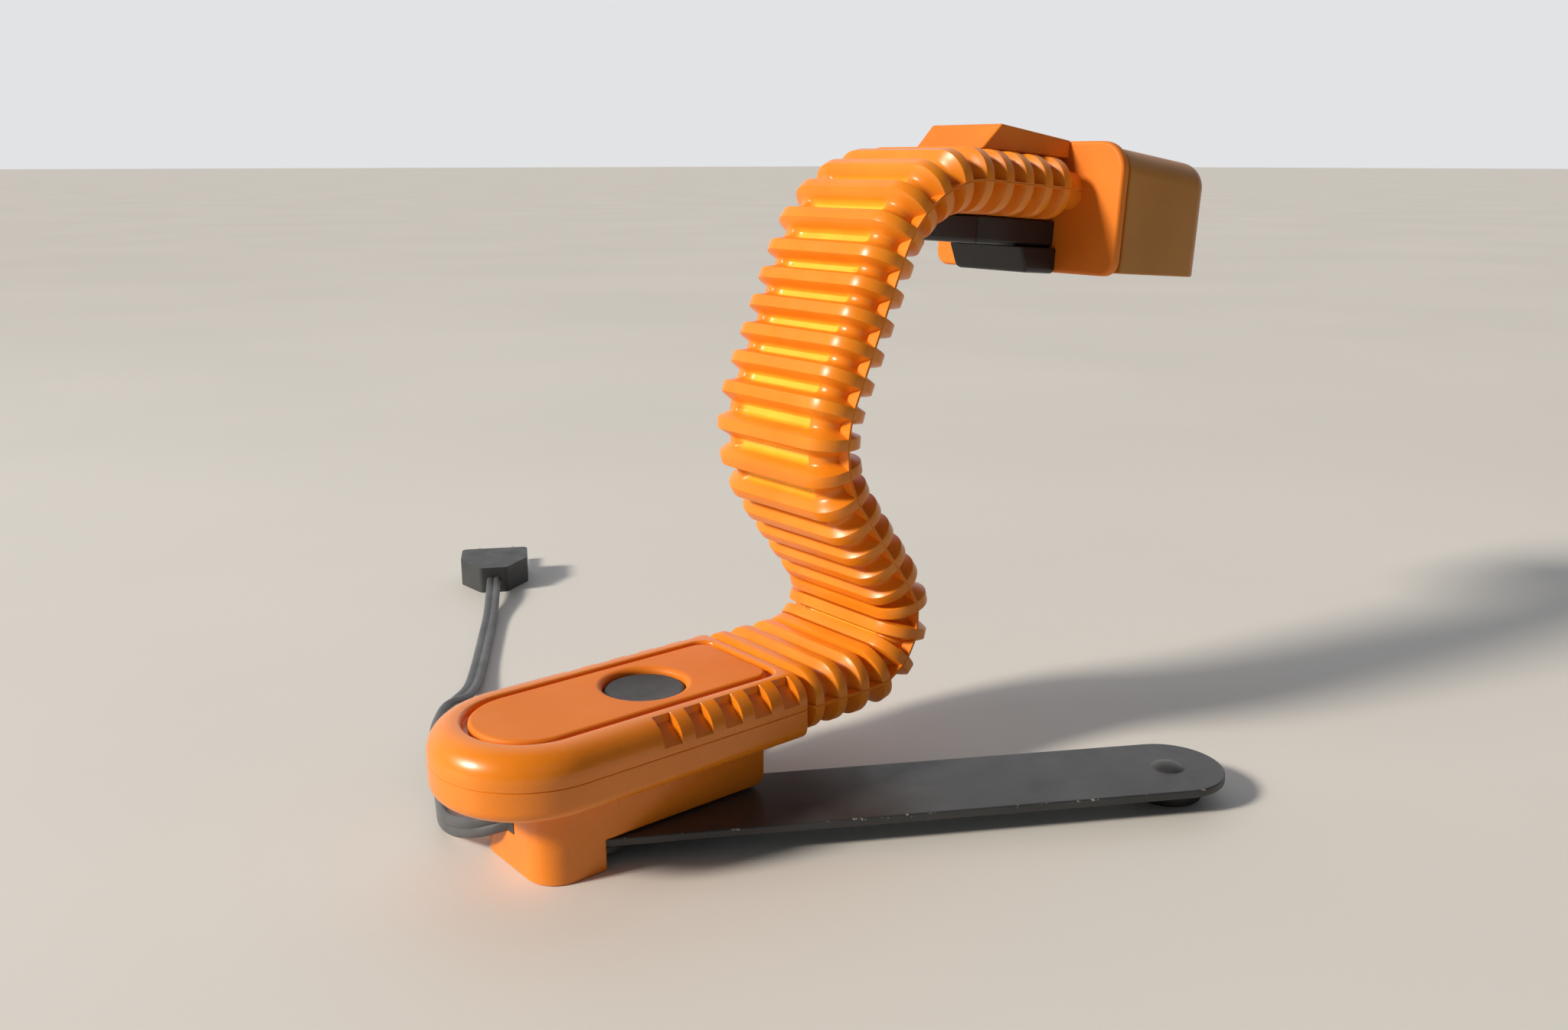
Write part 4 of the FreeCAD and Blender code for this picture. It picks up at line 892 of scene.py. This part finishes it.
def makeLeg(side):
    # wear says how far the enamel is chipped on each loop: most along the upper edge, none on the flat
    low, soft = legs[side]["low"], legs["edgeRound"]
    high = low + legs["thick"]
    loops = [legLoop(side, soft * (1 - math.sin(a)), low + soft * (1 - math.cos(a))) for a in arc(4)]
    loops += [legLoop(side, soft * (1 - math.cos(a)), high - soft + soft * math.sin(a)) for a in arc(4)]
    loops.append(legLoop(side, soft + legs["wornBand"], high))
    wear = [0.7] * 5 + [1.0] * 4 + [0.9, 0.0]
    parts = gather(lid(loops[0]), skin(loops), lid(loops[-1]))
    leg = meshPiece(f"plateLeg_{side}", *parts, stoveEnamel, 40.0, True)
    edge = leg.data.attributes.new("plateEdge", "FLOAT", "POINT")
    flat = [Vector(p) for p in loops[-1]]
    for vertex in leg.data.vertices:
        place = vertex.co / mm
        nearest = min(range(len(loops) - 1), key=lambda i: abs(loops[i][0][2] - place.z))
        edge.data[vertex.index].value = wear[nearest]
        if abs(place.z - high) < 0.001 and min((place - p).length for p in flat) < 0.01:
            edge.data[vertex.index].value = wear[-1]
    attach(leg, f"leg_{side}")
    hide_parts(f"leg_{side}")
    foot = softened(f"rubberFoot_{side}", f"foot_{side}", legs["footRound"], nitrileRubber)
    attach(foot, f"leg_{side}")


makeKeel()
makeLeg("right")
makeLeg("left")
print("keel and legs made")


# Head: back plate, shade, hood and the two small boxes under the neck

head = {
    "origin": (228.372, 0.0, 211.956), "pitch": 4.5,
    "plateHalf": 46.0, "plateLow": -31.3, "plateHigh": 18.5, "plateLowRadius": 6.0, "plateHighRadius": 11.5,
    "plateThick": 4.0, "rearRound": 1.4, "frontRound": 0.7,
    "grooveHalf": 42.0, "grooveLow": -27.0, "grooveHigh": 13.7,
    "grooveLowRadius": 6.0, "grooveHighRadius": 7.0, "grooveEnd": 6.0,
    "softEdge": 0.7,
}


def headPoint(x, y, z):
    turn = math.radians(head["pitch"])
    originX, originY, originZ = head["origin"]
    along, up = x * math.cos(turn) + z * math.sin(turn), z * math.cos(turn) - x * math.sin(turn)
    return (originX + along, originY + y, originZ + up)


def headLoop(x, halfWidth, low, high, lowRadius, highRadius):
    # an upright rounded rectangle: from each corner's centre, its sides and where its arc starts
    loop = []
    corners = (
        (1, -1, lowRadius, -90), (1, 1, highRadius, 0), (-1, 1, highRadius, 90), (-1, -1, lowRadius, 180),
    )
    for side, rise, radius, start in corners:
        y, z = side * (halfWidth - radius), (high if rise > 0 else low) - rise * radius
        loop += [headPoint(x, y + radius * math.cos(a), z + radius * math.sin(a)) for a in arc(10, start)]
    return loop


def plateLoop(x, inset):
    half, high = head["plateHalf"] - inset, head["plateHigh"] - inset
    radii = [head[name] - inset for name in ("plateLowRadius", "plateHighRadius")]
    return headLoop(x, half, head["plateLow"] + inset, high, *radii)


def makeHead():
    soft, thick, lip = head["rearRound"], head["plateThick"], head["frontRound"]
    loops = [plateLoop(soft * (1 - math.cos(a)), soft * (1 - math.sin(a))) for a in arc(6)]
    loops += [plateLoop(thick - lip + lip * math.sin(a), lip * (1 - math.cos(a))) for a in arc(4)]
    groove = [head["groove" + name] for name in ("Half", "Low", "High", "LowRadius", "HighRadius")]
    loops += [headLoop(x, *groove) for x in (thick, head["grooveEnd"])]
    plate = meshPiece("backPlate", *gather(lid(loops[0]), skin(loops)), mouldedAbs, housing["crease"], True)
    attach(plate, "head")
    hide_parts("head_back_plate")
    for name, node, material, slot in (
        ("shadeShell", "head_shade", ochreAbs, "orange_plastic"),
        ("neckHood", "head_hood", mouldedAbs, "orange_plastic"),
        ("clampBox", "neck_clamp", satinPolypropylene, "dark_plastic"),
        ("holderBox", "holder_cover", satinPolypropylene, "dark_plastic"),
    ):
        piece = softened(name, node, head["softEdge"], material)
        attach(piece, "head")


makeHead()
print("head made")


# Neck: the accordion cover, a rigid set of ribs on each body and a fold over each hinge

neck = {
    "start": (86.3, 39.2),
    # each stretch of the centreline: its length, or its radius and turn in degrees
    "stretches": [
        (33.5, 0, 0), (0, 21.0, 126.0), (40.8, 0, 0), (0, 38.3, -60.0), (52.8, 0, 0), (0, 41.6, -70.5),
        (57.0, 0, 0),
    ],
    "firstRib": 7.5, "pitch": 10.7, "ribs": 29, "perGroup": 4,
    "ribHalf": 2.1, "ribWidth": 33.0, "ribDepth": 11.5, "ribCorner": 11.0,
    "valleyWidth": 28.0, "valleyDepth": 7.5, "valleyCorner": 7.0,
    "seamHalf": 0.45, "pocketDepth": 2.1,
    "rootAt": 1.5, "endAt": 321.6, "foldHalf": 1.8, "softRibs": 5,
    # across half a pocket, from its side to its middle: place, depth and how much of the painted glow it
    # takes
    "pocket": [
        (0.975, 0.06, 0.05), (0.94, 0.28, 0.25), (0.9, 0.6, 0.55), (0.86, 0.86, 0.85), (0.81, 0.98, 1.0),
        (0.72, 1.0, 1.0), (0.36, 1.0, 1.0),
    ],
    # share of the way from one rim to the next, and how much of the rib is left there
    "foldProfile": [
        (0.0, 0.93), (0.05, 0.8), (0.11, 0.6), (0.17, 0.4), (0.23, 0.22), (0.29, 0.09), (0.36, 0.02),
        (0.43, 0.0), (0.5, 0.0),
    ],
}


def neckPlace(at):
    # centreline point, heading and normal at a distance along the neck
    place = Vector((neck["start"][0], 0, neck["start"][1]))
    heading, left = 0.0, at
    for length, radius, turn in neck["stretches"]:
        step = min(left, length + radius * math.radians(abs(turn)))
        along, across = neckAxes(heading)
        if radius == 0:
            place = place + along * step
        else:
            side, swept = math.copysign(1, turn), step / radius
            place = place + along * radius * math.sin(swept) + across * side * radius * (1 - math.cos(swept))
            heading += side * swept
        left -= step
        if left <= 0:
            break
    return place, *neckAxes(heading)


def neckAxes(heading):
    sine, cosine = math.sin(heading), math.cos(heading)
    return Vector((cosine, 0, sine)), Vector((-sine, 0, cosine))


def shifted(spot, along):
    return spot[0] + spot[1] * along, spot[1], spot[2]


def coverRing(spot, rib, pocket, fin=1.0):
    # one ring of the cover, its points with their share of the painted pocket glow: rib is 1 on a rib's rim
    # and 0 in a valley, pocket sinks the middle of the valley and sets the painted glow, fin is how far the
    # side seams stand out between ribs
    width, depth, corner = (
        neck["valley" + name] + (neck["rib" + name] - neck["valley" + name]) * rib
        for name in ("Width", "Depth", "Corner")
    )
    seam = neck["seamHalf"]
    rim = width + 0.03 + (neck["ribWidth"] - width) * fin
    half = [(rim, 0.14, 0.0), (rim, seam, 0.0), ((rim + width) / 2, seam, 0.0), (width + 0.01, seam, 0.0)]
    straight = depth - corner
    first = math.asin(min(max((seam - straight) / corner, 0.0), 0.9))
    for step in range(1, 11):
        a = first + (math.pi / 2 - first) * step / 10
        half.append((width - corner + corner * math.cos(a), straight + corner * math.sin(a), 0.0))
    sunk = neck["pocketDepth"] * pocket
    for share, dip, glowShare in neck["pocket"]:
        half.append(((width - corner) * share, depth - sunk * dip, glowShare))
    upper = half + [(0.0, depth - sunk, 1.0)] + [(-y, d, glowShare) for y, d, glowShare in reversed(half)]
    outline = [(rim - 0.3, 0.0, 0.0)] + upper + [(-rim + 0.3, 0.0, 0.0)]
    outline += [(y, -d, glowShare) for y, d, glowShare in reversed(upper)]
    return [(*(spot[0] + Vector((0, y, 0)) + spot[2] * d), pocket * glowShare) for y, d, glowShare in outline]


def ribSpot(index):
    return neckPlace(neck["firstRib"] + (index - 1) * neck["pitch"])


def rimRings(index):
    # the flat rim with its edges just broken; the lowest ribs are softer
    soft = min(max((neck["softRibs"] - index) / 4, 0.0), 1.0)
    half = neck["ribHalf"]
    edges = [(-half, 0.93 - 0.07 * soft), (-half + 0.14, 0.985 - 0.03 * soft)]
    edges.append((-half + 0.4 + 0.3 * soft, 1.0))
    edges += [(-along, rib) for along, rib in reversed(edges)]
    return [coverRing(shifted(ribSpot(index), along), rib, 0.0) for along, rib in edges]


def foldRings(before, after, fromFlat=False, toFlat=False):
    # rings from one rim to the next, on the straight line between the two ribs' planes; at the neck's two
    # ends one side has no rib
    rings = []
    profile = neck["foldProfile"]
    for u, rib in profile + [(1 - u, rib) for u, rib in reversed(profile[:-1])]:
        pocket, fin = smoothStep((min(u, 1 - u) - 0.2) / 0.14), 1.0
        if (fromFlat and u < 0.5) or (toFlat and u > 0.5):
            rib = pocket = 0.0
        if fromFlat:
            fin = smoothStep((u - 0.35) / 0.4)
        if toFlat:
            fin = smoothStep((0.65 - u) / 0.4)
        first, second = (coverRing(spot, rib, pocket, fin) for spot in (before, after))
        rings.append([tuple(p + (q - p) * u for p, q in zip(a, b)) for a, b in zip(first, second)])
    return rings


def foldBetween(low, high):
    half = neck["ribHalf"]
    before = shifted(ribSpot(low), half) if low >= 1 else neckPlace(neck["rootAt"])
    after = shifted(ribSpot(high), -half) if high <= neck["ribs"] else neckPlace(neck["endAt"])
    return foldRings(before, after, low < 1, high > neck["ribs"])


def groupOf(index):
    return 0 if index <= 1 else (index - 2) // neck["perGroup"] + 1


def bodyOf(group):
    return "base" if group == 0 else "head" if group == lastGroup else f"neck_{group}"


lastGroup = groupOf(neck["ribs"])


def coverPiece(name, rings):
    # each ring's points carry a fourth number, their share of the painted glow in the pockets
    points, faces = skin(rings)
    piece = meshPiece(name, [p[:3] for p in points], faces, bellowsPolypropylene, 32.0)
    places = {tuple(round(c, 3) for c in p[:3]): p[3] for p in points}
    glowShare = piece.data.attributes.new("paintedPocketGlow", "FLOAT", "POINT")
    for vertex in piece.data.vertices:
        glowShare.data[vertex.index].value = places.get(tuple(round(c / mm, 3) for c in vertex.co), 0.0)
    return piece


def makeCover():
    for group in range(lastGroup + 1):
        members = [i for i in range(1, neck["ribs"] + 1) if groupOf(i) == group]
        last = members[-1]
        rings = foldBetween(0, 1) if group == 0 else []
        for index in members:
            rings += rimRings(index)
            if index != last:
                rings += foldBetween(index, index + 1)[1:-1]
        if group == lastGroup:
            rings += foldBetween(last, last + 1)[1:]
        piece = coverPiece(f"coverRibs{group}", rings)
        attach(piece, bodyOf(group))
        halves = (f"neck_front_{group}", f"neck_back_{group}")
        if group == 0:
            halves = ("neck_root_front", "neck_root_back")
        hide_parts(*halves)
        if group < lastGroup:
            fold = coverPiece(f"coverFold{group + 1}", foldBetween(last, last + 1))
            low = shifted(ribSpot(last), neck["ribHalf"])[0]
            high = shifted(ribSpot(last + 1), -neck["ribHalf"])[0]
            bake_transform(fold)


makeCover()
print("neck cover made")


bpy.context.view_layer.update()
